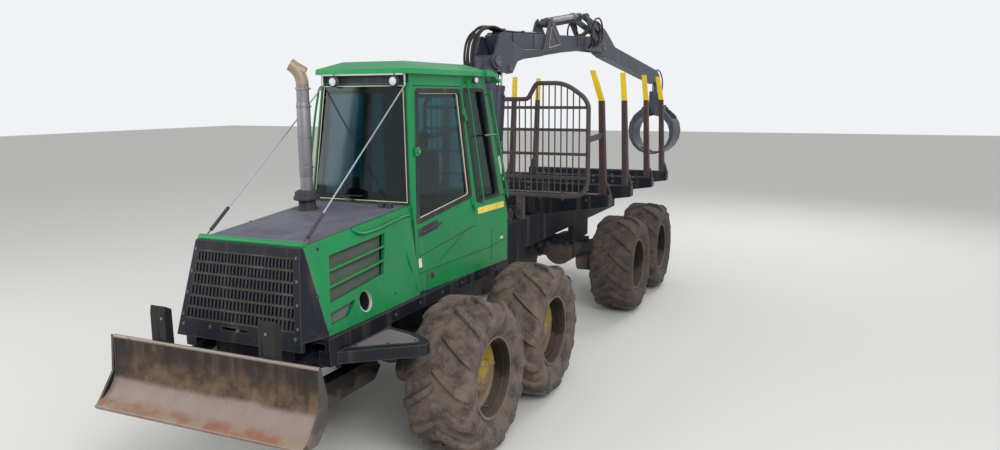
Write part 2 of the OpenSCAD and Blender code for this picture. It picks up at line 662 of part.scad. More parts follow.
// closed is the length between eyes with the rod fully in
module ram_barrel(closed, r, rod_r, pin_r, eye_w) {
    difference() {
        union() {
            pin_x(0, 0, pin_r * 1.9, -eye_w / 2, eye_w / 2);
            pin_y(0, 0, r, pin_r * 1.3, closed - pin_r * 2.6);
        }
        pin_x(0, 0, pin_r + run_fit, -r - eye_w, r + eye_w);
        block([-r - 1, -r - 1, -r - 1], [-eye_w / 2, pin_r * 3.4, r + 1]);
        block([eye_w / 2, -r - 1, -r - 1], [r + 1, pin_r * 3.4, r + 1]);
        pin_y(0, 0, rod_r + run_fit, pin_r * 2.4, closed);
    }
}
module ram_rod(closed, length, rod_r, pin_r, eye_w) {
    difference() {
        union() {
            pin_y(0, 0, rod_r, length - closed + pin_r * 2.6, length - pin_r);
            pin_x(length, 0, pin_r * 1.9, -eye_w / 2, eye_w / 2);
        }
        pin_x(length, 0, pin_r + 1, -eye_w, eye_w);
    }
}

blade_closed = span(blade_ram_foot, blade_ram_eye) - 1;
module blade_barrels() placed() color(frame_c) both_sides() translate([arm_x, 0, 0])
    ram_place(blade_ram_foot, blade_ram_eye) ram_barrel(blade_closed, 50, 28, eye_pin_r, ram_eye_w);
module blade_rods() placed() color(grey_c) both_sides() translate([arm_x, 0, 0])
    ram_place(blade_ram_foot, blade_ram_eye)
        ram_rod(blade_closed, span(blade_ram_foot, blade_ram_eye), 28, eye_pin_r, ram_eye_w);

// Centre joint: a steering pin with a roll bearing behind it

roll_z = 1060;
roll_r = 130;
bearing_front = joint_y + 130;
bearing_rear = joint_y + 230;
steer_z = roll_z;
steer_arm = 230;
steer_foot_x = 200;
steer_foot_y = 830;
module centre_joint() placed() color(frame_c) difference() {
    union() {
        pin_z(0, joint_y, joint_pin_r, ear_low_z - 10, ear_high_z + ear_t + 10);
        pin_z(0, joint_y, 115, ear_low_z + ear_t + seat_gap, ear_high_z - seat_gap);
        block([-110, joint_y, ear_low_z + ear_t + 20], [110, bearing_front + eps, ear_high_z - 20]);
        pin_y(0, roll_z, roll_r + 40, bearing_front, bearing_rear);
        // Arms that the steering cylinders push
        both_sides() for (z = [steer_z - ear_out, steer_z + ear_in])
            block([90, joint_y - 45, z], [steer_arm + 50, joint_y + 60, z + ear_out - ear_in]);
    }
    pin_y(0, roll_z, roll_r - 50 + run_fit, bearing_front + 20, bearing_rear + 1);
}

steer_foot = [steer_foot_x, steer_foot_y];
steer_eye = [steer_arm, joint_y];
steer_closed = 500;
// A steering cylinder lies level: y and z of the cylinder's own frame become x and y of the machine's
module steer_place(side) {
    mirror([side < 0 ? 1 : 0, 0, 0]) translate([steer_foot_x, steer_foot_y, steer_z])
        rotate([0, 0, atan2(steer_eye[1] - steer_foot[1], steer_eye[0] - steer_foot[0]) - 90])
            rotate([0, 90, 0]) children();
}
module steer_barrel(side) placed() color(frame_c) steer_place(side)
    ram_barrel(steer_closed, 45, 25, eye_pin_r, ram_eye_w);
module steer_rod(side) placed() color(grey_c) steer_place(side)
    ram_rod(steer_closed, span(steer_foot, steer_eye), 25, eye_pin_r, ram_eye_w);
module steer_barrel_left() steer_barrel(1);
module steer_barrel_right() steer_barrel(-1);
module steer_rod_left() steer_rod(1);
module steer_rod_right() steer_rod(-1);

// Rear frame

rear_beam_x = 200;
rear_beam_t = 90;
rear_beam_low = 1100;
rear_front = 1790;
base_z = 2000;
stake_w = 88;
stake_tip_w = 62;
stake_foot_z = rear_beam_z + 140;
// How far a stake's tip leans in over its foot
stake_lean = 60;
stake_y = [3205, 4308, 5595, 6668];
tow_r = 75;
tow_w = 140;
tow_bore = 25;
tow_y = rear_end + 110;
tow_z = 1180;
tow_t = 40;
module rear_chassis() placed() color(frame_c) {
    pin_y(0, roll_z, roll_r - 50, bearing_front + 30, rear_front + 60);
    pin_y(0, roll_z, roll_r + 40, bearing_rear + seat_gap, rear_front + 60);
    both_sides() {
        block([rear_beam_x, rear_front, rear_beam_low - 150],
            [rear_beam_x + rear_beam_t, head_y, rear_beam_z]);
        block([rear_beam_x, head_y - eps, rear_beam_low],
            [rear_beam_x + rear_beam_t, rear_end, rear_beam_z]);
        block([rear_beam_x, wheel_base - 350, beam_z],
            [rear_beam_x + rear_beam_t, wheel_base + 350, rear_beam_low + eps]);
    }
    block([-rear_beam_x - eps, rear_front, rear_beam_low - 150],
        [rear_beam_x + eps, rear_front + 60, rear_beam_z]);
    block([-rear_beam_x - eps, rear_end - 60, rear_beam_low], [rear_beam_x + eps, rear_end, rear_beam_z]);
    for (y = [3600, 5000])
        block([-rear_beam_x - eps, y, rear_beam_low], [rear_beam_x + eps, y + 80, rear_beam_z]);
    // The towing eye at the rear
    difference() {
        union() {
            block([-tow_w / 2, rear_end - eps, tow_z], [tow_w / 2, tow_y, tow_z + tow_t]);
            pin_z(0, tow_y, tow_r, tow_z, tow_z + tow_t);
        }
        pin_z(0, tow_y, tow_bore, tow_z - 1, tow_z + tow_t + 1);
    }
    // The crane's base between the beams, with its slewing gear's cylinders
    block([-rear_beam_x - eps, column_y - 150, rear_beam_low],
        [rear_beam_x + eps, column_y + 220, rear_beam_z]);
    block([-230, column_y - 180, rear_beam_z - eps], [230, column_y + 220, 1750]);
    pin_z(0, column_y, 200, 1740, base_z);
    for (y = [column_y - 120, column_y + 120]) pin_x(y, 1640, 75, -420, 420);
}

// Outline of a left stake at a height, grown by a gap
function stake_outline(y, z, gap) =
    let (up = (z - stake_foot_z) / (stake_top_z - stake_foot_z), x = stake_x - stake_lean * up,
        half = (stake_w + (stake_tip_w - stake_w) * up) / 2 + gap)
    [[x - half, y - half], [x + half, y - half], [x + half, y + half], [x - half, y + half]];
module stake(y, z0, z1, gap) { loft([for (z = [z0, z1]) [z, stake_outline(y, z, gap)]]); }
module bunks() placed() color(frame_c) for (y = stake_y) {
    half = stake_x + 90;
    top = rear_beam_z + bunk_h;
    difference() {
        front_plate([[-half, rear_beam_z + 130], [-400, rear_beam_z], [400, rear_beam_z],
            [half, rear_beam_z + 130], [half, top], [-half, top]], y - 80, y + 80);
        both_sides() stake(y, stake_foot_z - seat_gap, top + 1, seat_gap);
    }
    // Gussets outside the stakes' feet
    both_sides() front_plate([[stake_x + 20, top - eps], [half, top - eps], [half, top + 10],
        [stake_x + stake_w / 2 + 4, top + 150], [stake_x + stake_w / 2 + 4, top - eps]], y - 30, y + 30);
}
module stakes() placed() both_sides() for (y = stake_y) {
    color([0.28, 0.23, 0.22]) stake(y, stake_foot_z, tip_z, 0);
    color([0.85, 0.72, 0.08]) stake(y, tip_z - eps, stake_top_z, 0);
}

head_low_z = 1760;
head_notch_z = 2975;
head_shoulder_z = 2900;
tube_r = 28;
// A closed outline moved outward by r; its points run clockwise
function grow_ring(p, r) = let (n = len(p)) [for (i = [0:n - 1])
    let (u = p[i] - p[(i + n - 1) % n], v = p[(i + 1) % n] - p[i],
        nu = [-u[1], u[0]] / norm(u), nv = [-v[1], v[0]] / norm(v))
    p[i] + r * (nu + nv) / (1 + nu * nv)];
// The tube's centre line on the left half, from the notch in the middle down to the foot: x and z
head_half_line = [
    [340, head_notch_z], [450, head_top_z - tube_r], [820, head_top_z - tube_r],
    [head_x - 90, head_shoulder_z + 100], [head_x - tube_r, head_shoulder_z],
    [head_x - tube_r, head_low_z + 190], [head_x - 90, head_low_z + 60],
        [head_x - 250, head_low_z + tube_r]];
bar_pitch = 78;
module headboard() placed() color(rail_c) translate([0, head_y, 0]) {
    ring = concat(head_half_line, [for (i = [len(head_half_line) - 1:-1:0])
        [-head_half_line[i][0], head_half_line[i][1]]]);
    difference() {
        front_plate(grow_ring(ring, tube_r), -tube_r, tube_r);
        front_plate(grow_ring(ring, -tube_r), -tube_r - 1, tube_r + 1);
    }
    for (z = [2190, 2500, 2790]) block([tube_r - head_x, -15, z - 18], [head_x - tube_r, 15, z + 18]);
    block([-12, -11, head_low_z + 40], [12, 11, head_notch_z]);
    both_sides() {
        for (i = [1:floor((head_x - 130) / bar_pitch)])
            block([i * bar_pitch - 10, -10, head_low_z + 40], [i * bar_pitch + 10, 10,
                lookup(i * bar_pitch, concat([[0, head_notch_z]], head_half_line))]);
        // Feet that stand on the rear beams
        block([rear_beam_x, -40, rear_beam_z], [rear_beam_x + rear_beam_t, 40, head_low_z + tube_r]);
    }
}

// Crane: drawn with the boom to the rear along +Y from the column's axis, then slewed as it is parked

module on_crane() placed() translate([0, column_y, 0]) rotate([0, 0, -slew_rest]) children();

// Points in the crane's plane, y from the column's axis and z: they hold for the parked boom
boom_pin = [140, boom_pin_z];
lift_foot = [340, boom_pin_z - 1050];
lift_eye = [450, boom_pin_z - 70];
fold_foot = [1610, boom_pin_z + 550];
fold_eye = [2650, boom_pin_z + 715];
link_root = [3020, boom_pin_z + 365];
knuckle = [3330, boom_pin_z + 320];
link_top = [3270, boom_pin_z + 565];
fork_in = 120;
fork_out = 150;
head_half = 110;

module crane_column() on_crane() color(crane_c) difference() {
    union() {
        pin_z(0, 0, 250, base_z + seat_gap, base_z + 60);
        pin_z(0, 0, 150, base_z + 60 - eps, boom_pin_z - 270);
        side_plate([[-150, boom_pin_z - 420], [150, boom_pin_z - 420], [230, boom_pin_z - 40],
            [180, boom_pin_z + 60],
            [90, boom_pin_z + 70], [-40, boom_pin_z + 10], [-150, boom_pin_z - 250]],
            -head_half, head_half);
        pin_x(boom_pin[0], boom_pin[1], boom_pin_r, -fork_out - 15, fork_out + 15);
        both_sides() side_plate([[100, lift_foot[1] - 120], [lift_foot[0], lift_foot[1] - 70],
            [lift_foot[0] + 70, lift_foot[1]], [lift_foot[0], lift_foot[1] + 70],
                [100, lift_foot[1] + 120]],
            ear_in - 2, ear_out);
        pin_x(lift_foot[0], lift_foot[1], eye_pin_r, -ear_out, ear_out);
    }
    // The head is open between two cheeks, where the boom's cylinder and the hoses pass
    block([-head_half + 40, 60, boom_pin_z - 330], [head_half - 40, 400, boom_pin_z - 60]);
}

lift_len = span(lift_foot, lift_eye);
lift_closed = 850;
module lift_barrel() on_crane() color(crane_c) ram_place(lift_foot, lift_eye)
    ram_barrel(lift_closed, ram_r, 38, eye_pin_r, ram_eye_w);
module lift_rod() on_crane() color(grey_c) ram_place(lift_foot, lift_eye)
    ram_rod(lift_closed, lift_len, 38, eye_pin_r, ram_eye_w);

module main_boom() on_crane() color(crane_c) difference() {
    union() {
        // The beam, deep at its root and slim at its tip
        side_plate([[420, boom_pin_z + 25], [640, boom_pin_z + 40], [1260, boom_pin_z + 100],
            [1930, boom_pin_z + 180],
            [2900, boom_pin_z + 265], [2900, boom_pin_z + 455], [1450, boom_pin_z + 390],
                [330, boom_pin_z + 345],
            [250, boom_pin_z + 300]], -boom_x, boom_x);
        // The fork at its root, on both sides of the column's head
        both_sides() side_plate([[30, boom_pin_z + 10], [60, boom_pin_z - 60], [140, boom_pin_z - 90],
            [400, boom_pin_z - 145], [500, boom_pin_z - 130], [620, boom_pin_z + 10],
                [760, boom_pin_z + 45],
            [1290, boom_pin_z + 103], [1290, boom_pin_z + 190], [780, boom_pin_z + 160],
                [250, boom_pin_z + 300],
            [200, boom_pin_z + 290], [110, boom_pin_z + 100]], fork_in, fork_out);
        both_sides() side_plate([[640, boom_pin_z + 40], [1260, boom_pin_z + 100], [1260, boom_pin_z + 180],
            [780, boom_pin_z + 155], [500, boom_pin_z + 190]], boom_x - eps, fork_in + eps);
        // Bosses that the lift cylinder's rod eye works between
        both_sides() pin_x(lift_eye[0], lift_eye[1], 58, ear_in, fork_out);
        // Gussets that carry the fold cylinder's foot
        both_sides() side_plate([[1340, boom_pin_z + 150], [1950, boom_pin_z + 230],
            [1900, boom_pin_z + 330],
            [1690, boom_pin_z + 550], [1610, boom_pin_z + 610], [1540, boom_pin_z + 550]],
            boom_x - eps, boom_x + 22);
        pin_x(fold_foot[0], fold_foot[1], eye_pin_r, -boom_x - 20, boom_x + 20);
        // Cheeks at the tip, with the knuckle's pin between them
        both_sides() side_plate([[2700, boom_pin_z + 250], [3330, boom_pin_z + 250],
            [3400, boom_pin_z + 320],
            [3330, boom_pin_z + 390], [3020, boom_pin_z + 450], [2700, boom_pin_z + 440]],
            boom_x - eps, boom_x + 25);
        pin_x(knuckle[0], knuckle[1], boom_pin_r, -boom_x - 25, boom_x + 25);
        pin_x(link_root[0], link_root[1], eye_pin_r, -link_out - 3, link_out + 3);
    }
    pin_x(boom_pin[0], boom_pin[1], boom_pin_r + run_fit, -fork_out - 100, fork_out + 100);
}

fold_len = span(fold_foot, fold_eye);
// How far the rod can still go in from the parked length
fold_in = 70;
fold_closed = fold_len - fold_in;
module fold_barrel() on_crane() color(crane_c) ram_place(fold_foot, fold_eye)
    ram_barrel(fold_closed, ram_r - 4, 38, eye_pin_r, ram_eye_w);
module fold_rod() on_crane() color(grey_c) ram_place(fold_foot, fold_eye)
    ram_rod(fold_closed, fold_len, 38, eye_pin_r, ram_eye_w);

outer_half = 78;
link_in = boom_x + 30;
link_out = boom_x + 55;
// A flat link with round ends between two points of the crane's plane
module link(a, b, r, x0, x1) {
    way = b - a;
    side = [-way[1], way[0]] / norm(way) * r;
    side_plate([a - side, b - side, b + side, a + side], x0, x1);
    for (end = [a, b]) pin_x(end[0], end[1], r, x0, x1);
}
module fold_links() on_crane() color(grey_c) difference() {
    both_sides() link(link_root, fold_eye, 50, link_in, link_out);
    both_sides() pin_x(link_root[0], link_root[1], eye_pin_r + run_fit, link_in - 20, link_out + 20);
}

// The second pair of links, from the cylinder's eye to the horn of the outer boom
strut_in = outer_half + 4;
strut_out = strut_in + 25;
module fold_struts() on_crane() color(grey_c) difference() {
    both_sides() link(link_top, fold_eye, 45, strut_in, strut_out);
    both_sides() pin_x(link_top[0], link_top[1], eye_pin_r + run_fit, strut_in - 20, strut_out + 20);
}

// Outer radius of a closed jaw's curve, its centre's x, and half the width over its two tines
jaw_r = 430;
jaw_cx = 5;
jaw_y = 185;
outer_dir = [cos(outer_drop), -sin(outer_drop)];
outer_reach = knuckle[0] + (outer_len + 130) * cos(outer_drop);
// The origin lies under the middle of the machine, between the cutting edge and the hanging grapple
grapple_rear_y = column_y + (outer_reach + jaw_y) * cos(slew_rest) + (jaw_cx + jaw_r) * sin(slew_rest);
mid_y = (edge_y + grapple_rear_y) / 2;
outer_deep = 115;
tube_wall = 16;
// Placed at the knuckle, y along the outer boom and z above it
module on_outer() on_crane() translate([0, knuckle[0], knuckle[1]]) rotate([-outer_drop, 0, 0]) children();
horn = [link_top[0] - knuckle[0], link_top[1] - knuckle[1]];
horn_y = horn[0] * cos(outer_drop) - horn[1] * sin(outer_drop);
horn_z = horn[0] * sin(outer_drop) + horn[1] * cos(outer_drop);
module outer_boom() on_outer() color(crane_c) difference() {
    union() {
        pin_x(horn_y, horn_z, eye_pin_r, -strut_out - 4, strut_out + 4);
        pin_x(horn_y, horn_z, 55, -outer_half, outer_half);
        block([-outer_half, 150, -outer_deep], [outer_half, outer_len, outer_deep]);
        side_plate([[-70, -60], [0, -95], [200, -outer_deep], [520, -outer_deep], [520, outer_deep],
            [150, 270],
            [-20, 310], [-110, 290], [-130, 220]], -outer_half, outer_half);
    }
    pin_x(0, 0, boom_pin_r + run_fit, -outer_half - 1, outer_half + 1);
    block([-outer_half + tube_wall, 560, -outer_deep + tube_wall],
        [outer_half - tube_wall, outer_len + 1, outer_deep - tube_wall]);
}
module extension() on_outer() color(crane_c) {
    half = outer_half - tube_wall - slide_gap;
    deep = outer_deep - tube_wall - slide_gap;
    difference() {
        union() {
            block([-half, 600, -deep], [half, outer_len + 60, deep]);
            side_plate([[outer_len + 60 - eps, -deep], [outer_len + 130, -70], [outer_len + 190, -20],
                [outer_len + 190, 30], [outer_len + 130, 70], [outer_len + 60 - eps, deep]], -half, half);
        }
        // The fork that the swinging link hangs in, cut back below so that the link can swing inward
        side_plate([[outer_len + 10, -deep - 1], [outer_len + 200, -deep - 1], [outer_len + 200, deep + 1],
            [outer_len + 70, deep + 1], [outer_len + 70, 0]], -22, 22);
    }
    pin_x(outer_len + 130, 0, 22, -half, half);
}

// Grapple: hangs from the extension's tip. Places are taken from the hanging pin.
tip = knuckle + outer_dir * (outer_len + 130);
module on_tip() on_crane() translate([0, tip[0], tip[1]]) children();
// The flat link between the boom's tip and the rotator, and the rotator's foot
swing_len = 230;
head_drop = swing_len + 180;
module rotator_link() on_tip() color(crane_c) difference() {
    union() {
        side_plate([[-45, 0], [-45, -swing_len - 10], [45, -swing_len - 10], [45, 0]], -20, 20);
        pin_x(0, 0, 45, -20, 20);
        pin_z(0, 0, 110, -head_drop, -swing_len);
    }
    pin_x(0, 0, 22 + run_fit, -21, 21);
}
jaw_x = 130;
jaw_z = -head_drop - 150;
module grapple_head() on_tip() color(crane_c) {
    pin_z(0, 0, 120, -head_drop - 60, -head_drop - seat_gap);
    block([-jaw_x - 50, -110, jaw_z - 60], [jaw_x + 50, 110, -head_drop - 60 + eps]);
    both_sides() pin_y(jaw_x, jaw_z, eye_pin_r, -190, 190);
}
jaw_cz = jaw_z - jaw_r + 60;
tine_t = 40;
// A tine curves from the pivot round to the bottom middle, thick at its root and thin at its tip
tine_root = 150;
tine_tip = 30;
function tine_depth(a) = tine_tip + (tine_root - tine_tip) * (a + 80) / 160;
function tine() = concat(
    [for (a = [80:-20:-80]) [jaw_cx + jaw_r * cos(a), jaw_cz + jaw_r * sin(a)]],
    [[6, jaw_cz - jaw_r + 5], [6, jaw_cz - jaw_r + 5 + tine_tip]],
    [for (a = [-80:20:80]) let (r = jaw_r - tine_depth(a)) [jaw_cx + r * cos(a), jaw_cz + r * sin(a)]]);
module jaw() color(crane_c) {
    difference() {
        union() {
            for (y = [-jaw_y, jaw_y - tine_t]) {
                front_plate(tine(), y, y + tine_t);
                pin_y(jaw_x, jaw_z, 70, y, y + tine_t);
            }
            // The plate that joins the two tines along the middle of their curve
            intersection() {
                front_plate(tine(), tine_t - jaw_y - eps, jaw_y - tine_t + eps);
                block([jaw_cx + jaw_r / 2, -jaw_y, jaw_cz - jaw_r],
                    [jaw_cx + jaw_r, jaw_y, jaw_cz + jaw_r / 2]);
            }
        }
        pin_y(jaw_x, jaw_z, eye_pin_r + run_fit, -jaw_y - 100, jaw_y + 100);
    }
}
module jaw_left() on_tip() jaw();
module jaw_right() on_tip() mirror([1, 0, 0]) jaw();

front_chassis();
front_bogie();
engine();
hood();
grille();
exhaust();
cab_shell();
cab_roof();
cab_windows();
seat();
window_guards();
guard_wires();
work_lamps();
door();
door_window();
blade();
blade_barrels();
blade_rods();
centre_joint();
steer_barrel_left();
steer_barrel_right();
steer_rod_left();
steer_rod_right();
rear_chassis();
rear_bogie();
headboard();
bunks();
stakes();
crane_column();
lift_barrel();
lift_rod();
main_boom();
fold_barrel();
fold_rod();
fold_links();
fold_struts();
outer_boom();
extension();
rotator_link();
grapple_head();
jaw_left();
jaw_right();
tyre_1_left();
tyre_1_right();
tyre_2_left();
tyre_2_right();
tyre_3_left();
tyre_3_right();
tyre_4_left();
tyre_4_right();
rim_1_left();
rim_1_right();
rim_2_left();
rim_2_right();
rim_3_left();
rim_3_right();
rim_4_left();
rim_4_right();
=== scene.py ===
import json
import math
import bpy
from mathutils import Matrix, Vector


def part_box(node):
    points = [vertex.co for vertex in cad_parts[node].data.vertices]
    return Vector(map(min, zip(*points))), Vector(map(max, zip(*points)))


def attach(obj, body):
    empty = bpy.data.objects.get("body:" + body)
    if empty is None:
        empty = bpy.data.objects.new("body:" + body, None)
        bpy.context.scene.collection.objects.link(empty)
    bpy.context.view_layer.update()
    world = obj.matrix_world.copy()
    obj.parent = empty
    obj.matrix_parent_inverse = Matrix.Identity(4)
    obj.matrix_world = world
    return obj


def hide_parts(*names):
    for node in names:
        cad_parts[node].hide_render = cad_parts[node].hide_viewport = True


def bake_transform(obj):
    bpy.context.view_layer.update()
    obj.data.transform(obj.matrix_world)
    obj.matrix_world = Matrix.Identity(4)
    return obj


bl_info = {
    "name": "Forestry forwarder",
    "version": (1, 0, 0),
    "blender": (4, 5, 0),
    "location": "View3D > Sidebar > Forwarder",
    "description": "Dresses the frame of an eight-wheeled forestry forwarder with its finished pieces",
    "category": "Add Mesh",
}

from functools import partial

import bmesh
import bpy
from bpy.props import FloatProperty, FloatVectorProperty, IntProperty, PointerProperty
from mathutils import Matrix, Vector, noise

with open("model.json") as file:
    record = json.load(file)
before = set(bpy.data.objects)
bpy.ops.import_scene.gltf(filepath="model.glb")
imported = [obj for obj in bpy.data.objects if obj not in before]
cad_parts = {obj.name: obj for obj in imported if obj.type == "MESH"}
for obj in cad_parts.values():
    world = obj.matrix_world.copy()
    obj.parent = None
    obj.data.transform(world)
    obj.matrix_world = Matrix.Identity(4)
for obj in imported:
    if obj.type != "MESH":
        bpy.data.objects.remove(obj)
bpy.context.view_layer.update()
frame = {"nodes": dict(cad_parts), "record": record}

# Places are measured from the front bogie's centre, in metres, and at() moves them into the frame
BLADE_EDGE_Y = -2.705
MID_Y = BLADE_EDGE_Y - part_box("blade")[0].y
SIDES = ((1, "left"), (-1, "right"))


def at(x, y, z):
    return Vector((x, y - MID_Y, z))


# The crane's plane runs through the column's axis, slewed a little to the machine's left
COLUMN_Y = 1.95
SLEW = math.radians(7)
BOOM_DIR = Vector((math.sin(SLEW), math.cos(SLEW), 0))
BOOM_SIDE = Vector((math.cos(SLEW), -math.sin(SLEW), 0))


def on_crane(s, z, side=0):
    """A point s metres along the parked boom from the column, at height z, side metres to its left."""
    return at(0, COLUMN_Y, z) + BOOM_DIR * s + BOOM_SIDE * side


# Sizes and colours that a user would change


def length(name, description, default):
    """A length property, in metres."""
    return FloatProperty(name=name, description=description, default=default, unit="LENGTH")


class ForwarderSizes(bpy.types.PropertyGroup):
    bolt_radius: length("Bolt radius", "Radius of the visible bolt heads", 0.012)
    hose_radius: length("Hose radius", "Radius of the hydraulic hoses", 0.014)
    mud_depth: length("Mud depth", "How far the mud stands up between the lugs", 0.014)
    lug_count: IntProperty(name="Lugs", description="Lugs on each half of a tread", default=14, min=10, max=24)


def colour(name, description, *screen):
    """A colour property, written as it looks on screen, from 0 to 255."""
    return FloatVectorProperty(name=name, description=description, subtype="COLOR_GAMMA", size=3, min=0, max=1,
                               default=tuple(c / 255 for c in screen))


class ForwarderColours(bpy.types.PropertyGroup):
    green: colour("Green", "Paint of the hood and cab", 4, 128, 71)
    dark: colour("Frame", "Paint of the frames and the grille", 24, 27, 36)
    crane: colour("Crane", "Paint of the crane", 62, 67, 82)
    tread_plate: colour("Hood top", "Anti-slip cover of the hood", 98, 98, 112)
    mud: colour("Dry mud", "Light dried mud", 134, 119, 109)
    wet_mud: colour("Wet mud", "Dark damp mud", 84, 73, 67)
    rust: colour("Rust", "Rust on bare steel", 122, 74, 48)
    steel: colour("Worn steel", "Bare worn steel", 150, 146, 146)
    rim: colour("Rims", "Paint of the rims", 196, 160, 44)
    tip: colour("Stake tips", "Paint of the stakes' tips", 232, 196, 12)


def linear(value):
    """A colour written as it looks on screen, as the linear colour that a shader takes."""
    return tuple(c / 12.92 if c <= 0.04045 else ((c + 0.055) / 1.055) ** 2.4 for c in value[:3]) + (1.0,)


def shade(value, factor):
    """A colour, darker or lighter."""
    return tuple(min(c * factor, 1.0) for c in value[:3])


def chosen(name, factor=1.0):
    """One of the user's colours, darker or lighter, as a shader takes it."""
    return linear(shade(getattr(bpy.context.scene.forwarder_colours, name), factor))


# Shader nodes. A socket knows its own node tree, so these take sockets and numbers alike.


def add(tree, kind, sockets=None, **settings):
    node = tree.nodes.new(kind)
    for key, value in settings.items():
        setattr(node, key, value)
    wire(node, sockets or {})
    return node


def wire(node, sockets):
    """Links or sets a node's inputs."""
    for key, value in sockets.items():
        if isinstance(value, bpy.types.NodeSocket):
            node.id_data.links.new(value, node.inputs[key])
        else:
            node.inputs[key].default_value = value


def tree_of(*values):
    return next(value.id_data for value in values if isinstance(value, bpy.types.NodeSocket))


def calc(operation, a, b, clamp=False):
    return add(tree_of(a, b), "ShaderNodeMath", {0: a, 1: b}, operation=operation, use_clamp=clamp).outputs[0]


times, plus, minus, most = (partial(calc, name) for name in ("MULTIPLY", "ADD", "SUBTRACT", "MAXIMUM"))


def blend(factor, a, b):
    """A colour between a and b."""
    return add(tree_of(factor, a, b), "ShaderNodeMix", {0: factor, 6: a, 7: b}, data_type="RGBA").outputs[2]


def span(value, low, high, to_low=0, to_high=1.0):
    """A value's rise from low to high, as a smooth step."""
    sockets = {"Value": value, "From Min": low, "From Max": high, "To Min": to_low, "To Max": to_high}
    return add(tree_of(value), "ShaderNodeMapRange", sockets, clamp=True, interpolation_type="SMOOTHSTEP").outputs[0]


def speckle(vector, scale, detail, rough, stretch=None):
    """Noise over a place, stretched where a scale for each axis is given."""
    if stretch:
        vector = add(vector.id_data, "ShaderNodeMapping", {"Vector": vector, "Scale": stretch}).outputs[0]
    sockets = {"Vector": vector, "Detail": detail, "Roughness": rough, "Scale": scale}
    return add(vector.id_data, "ShaderNodeTexNoise", sockets).outputs["Fac"]


def axis_of(vector, axis):
    """One coordinate of a place."""
    return add(vector.id_data, "ShaderNodeSeparateXYZ", {"Vector": vector}).outputs[axis]


def faded(factor, tone, low=0.85, high=1.15):
    """A tone between a darker and a lighter one of itself."""
    return blend(factor, linear(shade(tone, low)), linear(shade(tone, high)))


def soiling(source):
    """Mud that thins out from a low height to a high one, patchy and in splashes."""
    place, scale = source["Vector"], source["Scale"]
    height = axis_of(place, "Z")
    patches = speckle(place, scale, 6, 0.65)
    splashes = speckle(place, times(scale, 7), 3, 0.7)
    rise = span(height, source["High"], source["Low"])
    ragged = plus(rise, times(minus(patches, 0.5), 1.6))
    mask = span(ragged, 0.42, 0.62)
    full = most(mask, times(span(splashes, 0.62, 0.7), span(rise, 0.02, 0.35)))
    return {"Mask": times(full, source["Amount"], True), "Height": times(full, splashes)}


def edge_wear(source):
    """Worn paint along the edges, broken up by noise."""
    place, scale = source["Vector"], source["Scale"]
    soft = add(place.id_data, "ShaderNodeBevel", {"Radius": source["Radius"]}, samples=4).outputs[0]
    hard = add(place.id_data, "ShaderNodeNewGeometry").outputs["Normal"]
    dot = add(place.id_data, "ShaderNodeVectorMath", {0: soft, 1: hard}, operation="DOT_PRODUCT").outputs["Value"]
    edge = span(minus(1.0, dot), 0.01, 0.12)
    broken = speckle(place, scale, 8, 0.75)
    mask = span(plus(edge, minus(broken, 0.5)), 0.62, 0.82)
    chips = span(speckle(place, times(scale, 1.7), 10, 0.8), 0.7, 0.74)
    return {"Mask": times(most(times(mask, span(edge, 0, 0.2)), chips), source["Amount"], True)}


def rust(source):
    """Rust in blooms, with the streaks that run down from them."""
    place, scale = source["Vector"], source["Scale"]
    blooms = speckle(place, scale, 8, 0.7)
    streaks = speckle(place, times(scale, 2.2), 5, 0.65, (1, 1, 0.12))
    both = plus(times(blooms, 0.6), times(streaks, 0.4))
    low = minus(0.72, times(source["Amount"], 0.4))
    return {"Mask": span(both, low, plus(low, 0.08)), "Color": blend(blooms, source["Dark"], source["Light"]),
            "Height": both}


def variation(source):
    """Broad fading and fine grain over any finish, and the streaks of old rain."""
    place, scale = source["Vector"], source["Scale"]
    broad = speckle(place, scale, 3, 0.5)
    grain = speckle(place, times(scale, 60), 2, 0.5)
    rain = speckle(place, times(scale, 5), 4, 0.6, (1, 1, 0.06))
    return {"Broad": broad, "Grain": grain, "Rain": span(rain, 0.5, 0.75)}


# Each shader group's function, its inputs beside the place, and its outputs
GROUPS = {
    "Soiling": (soiling, {"Low": 0.5, "High": 1.5, "Scale": 3.0, "Amount": 1.0}, ("Mask", "Height")),
    "Edge wear": (edge_wear, {"Radius": 0.01, "Scale": 14.0, "Amount": 1.0}, ("Mask",)),
    "Rust": (rust, {"Scale": 4.0, "Amount": 0.5, "Dark": (0.03, 0.015, 0.01, 1), "Light": (0.3, 0.1, 0.03, 1)},
             ("Mask", "Color", "Height")),
    "Variation": (variation, {"Scale": 1.5}, ("Broad", "Grain", "Rain")),
}


def make_groups():
    for name, (build_group, inputs, outputs) in GROUPS.items():
        tree = bpy.data.node_groups.new(name, "ShaderNodeTree")
        tree.interface.new_socket(name="Vector", in_out="INPUT", socket_type="NodeSocketVector")
        for label, default in inputs.items():
            kind = "NodeSocketColor" if isinstance(default, tuple) else "NodeSocketFloat"
            tree.interface.new_socket(name=label, in_out="INPUT", socket_type=kind).default_value = default
        for label in outputs:
            kind = "NodeSocketColor" if label == "Color" else "NodeSocketFloat"
            tree.interface.new_socket(name=label, in_out="OUTPUT", socket_type=kind)
        source = tree.nodes.new("NodeGroupInput")
        sink = tree.nodes.new("NodeGroupOutput")
        wire(sink, build_group(source.outputs))


def use(group, place, **sockets):
    """The outputs of a shader group at a place."""
    node = place.id_data.nodes.new("ShaderNodeGroup")
    node.node_tree = bpy.data.node_groups[group]
    wire(node, {"Vector": place, **sockets})
    return node.outputs


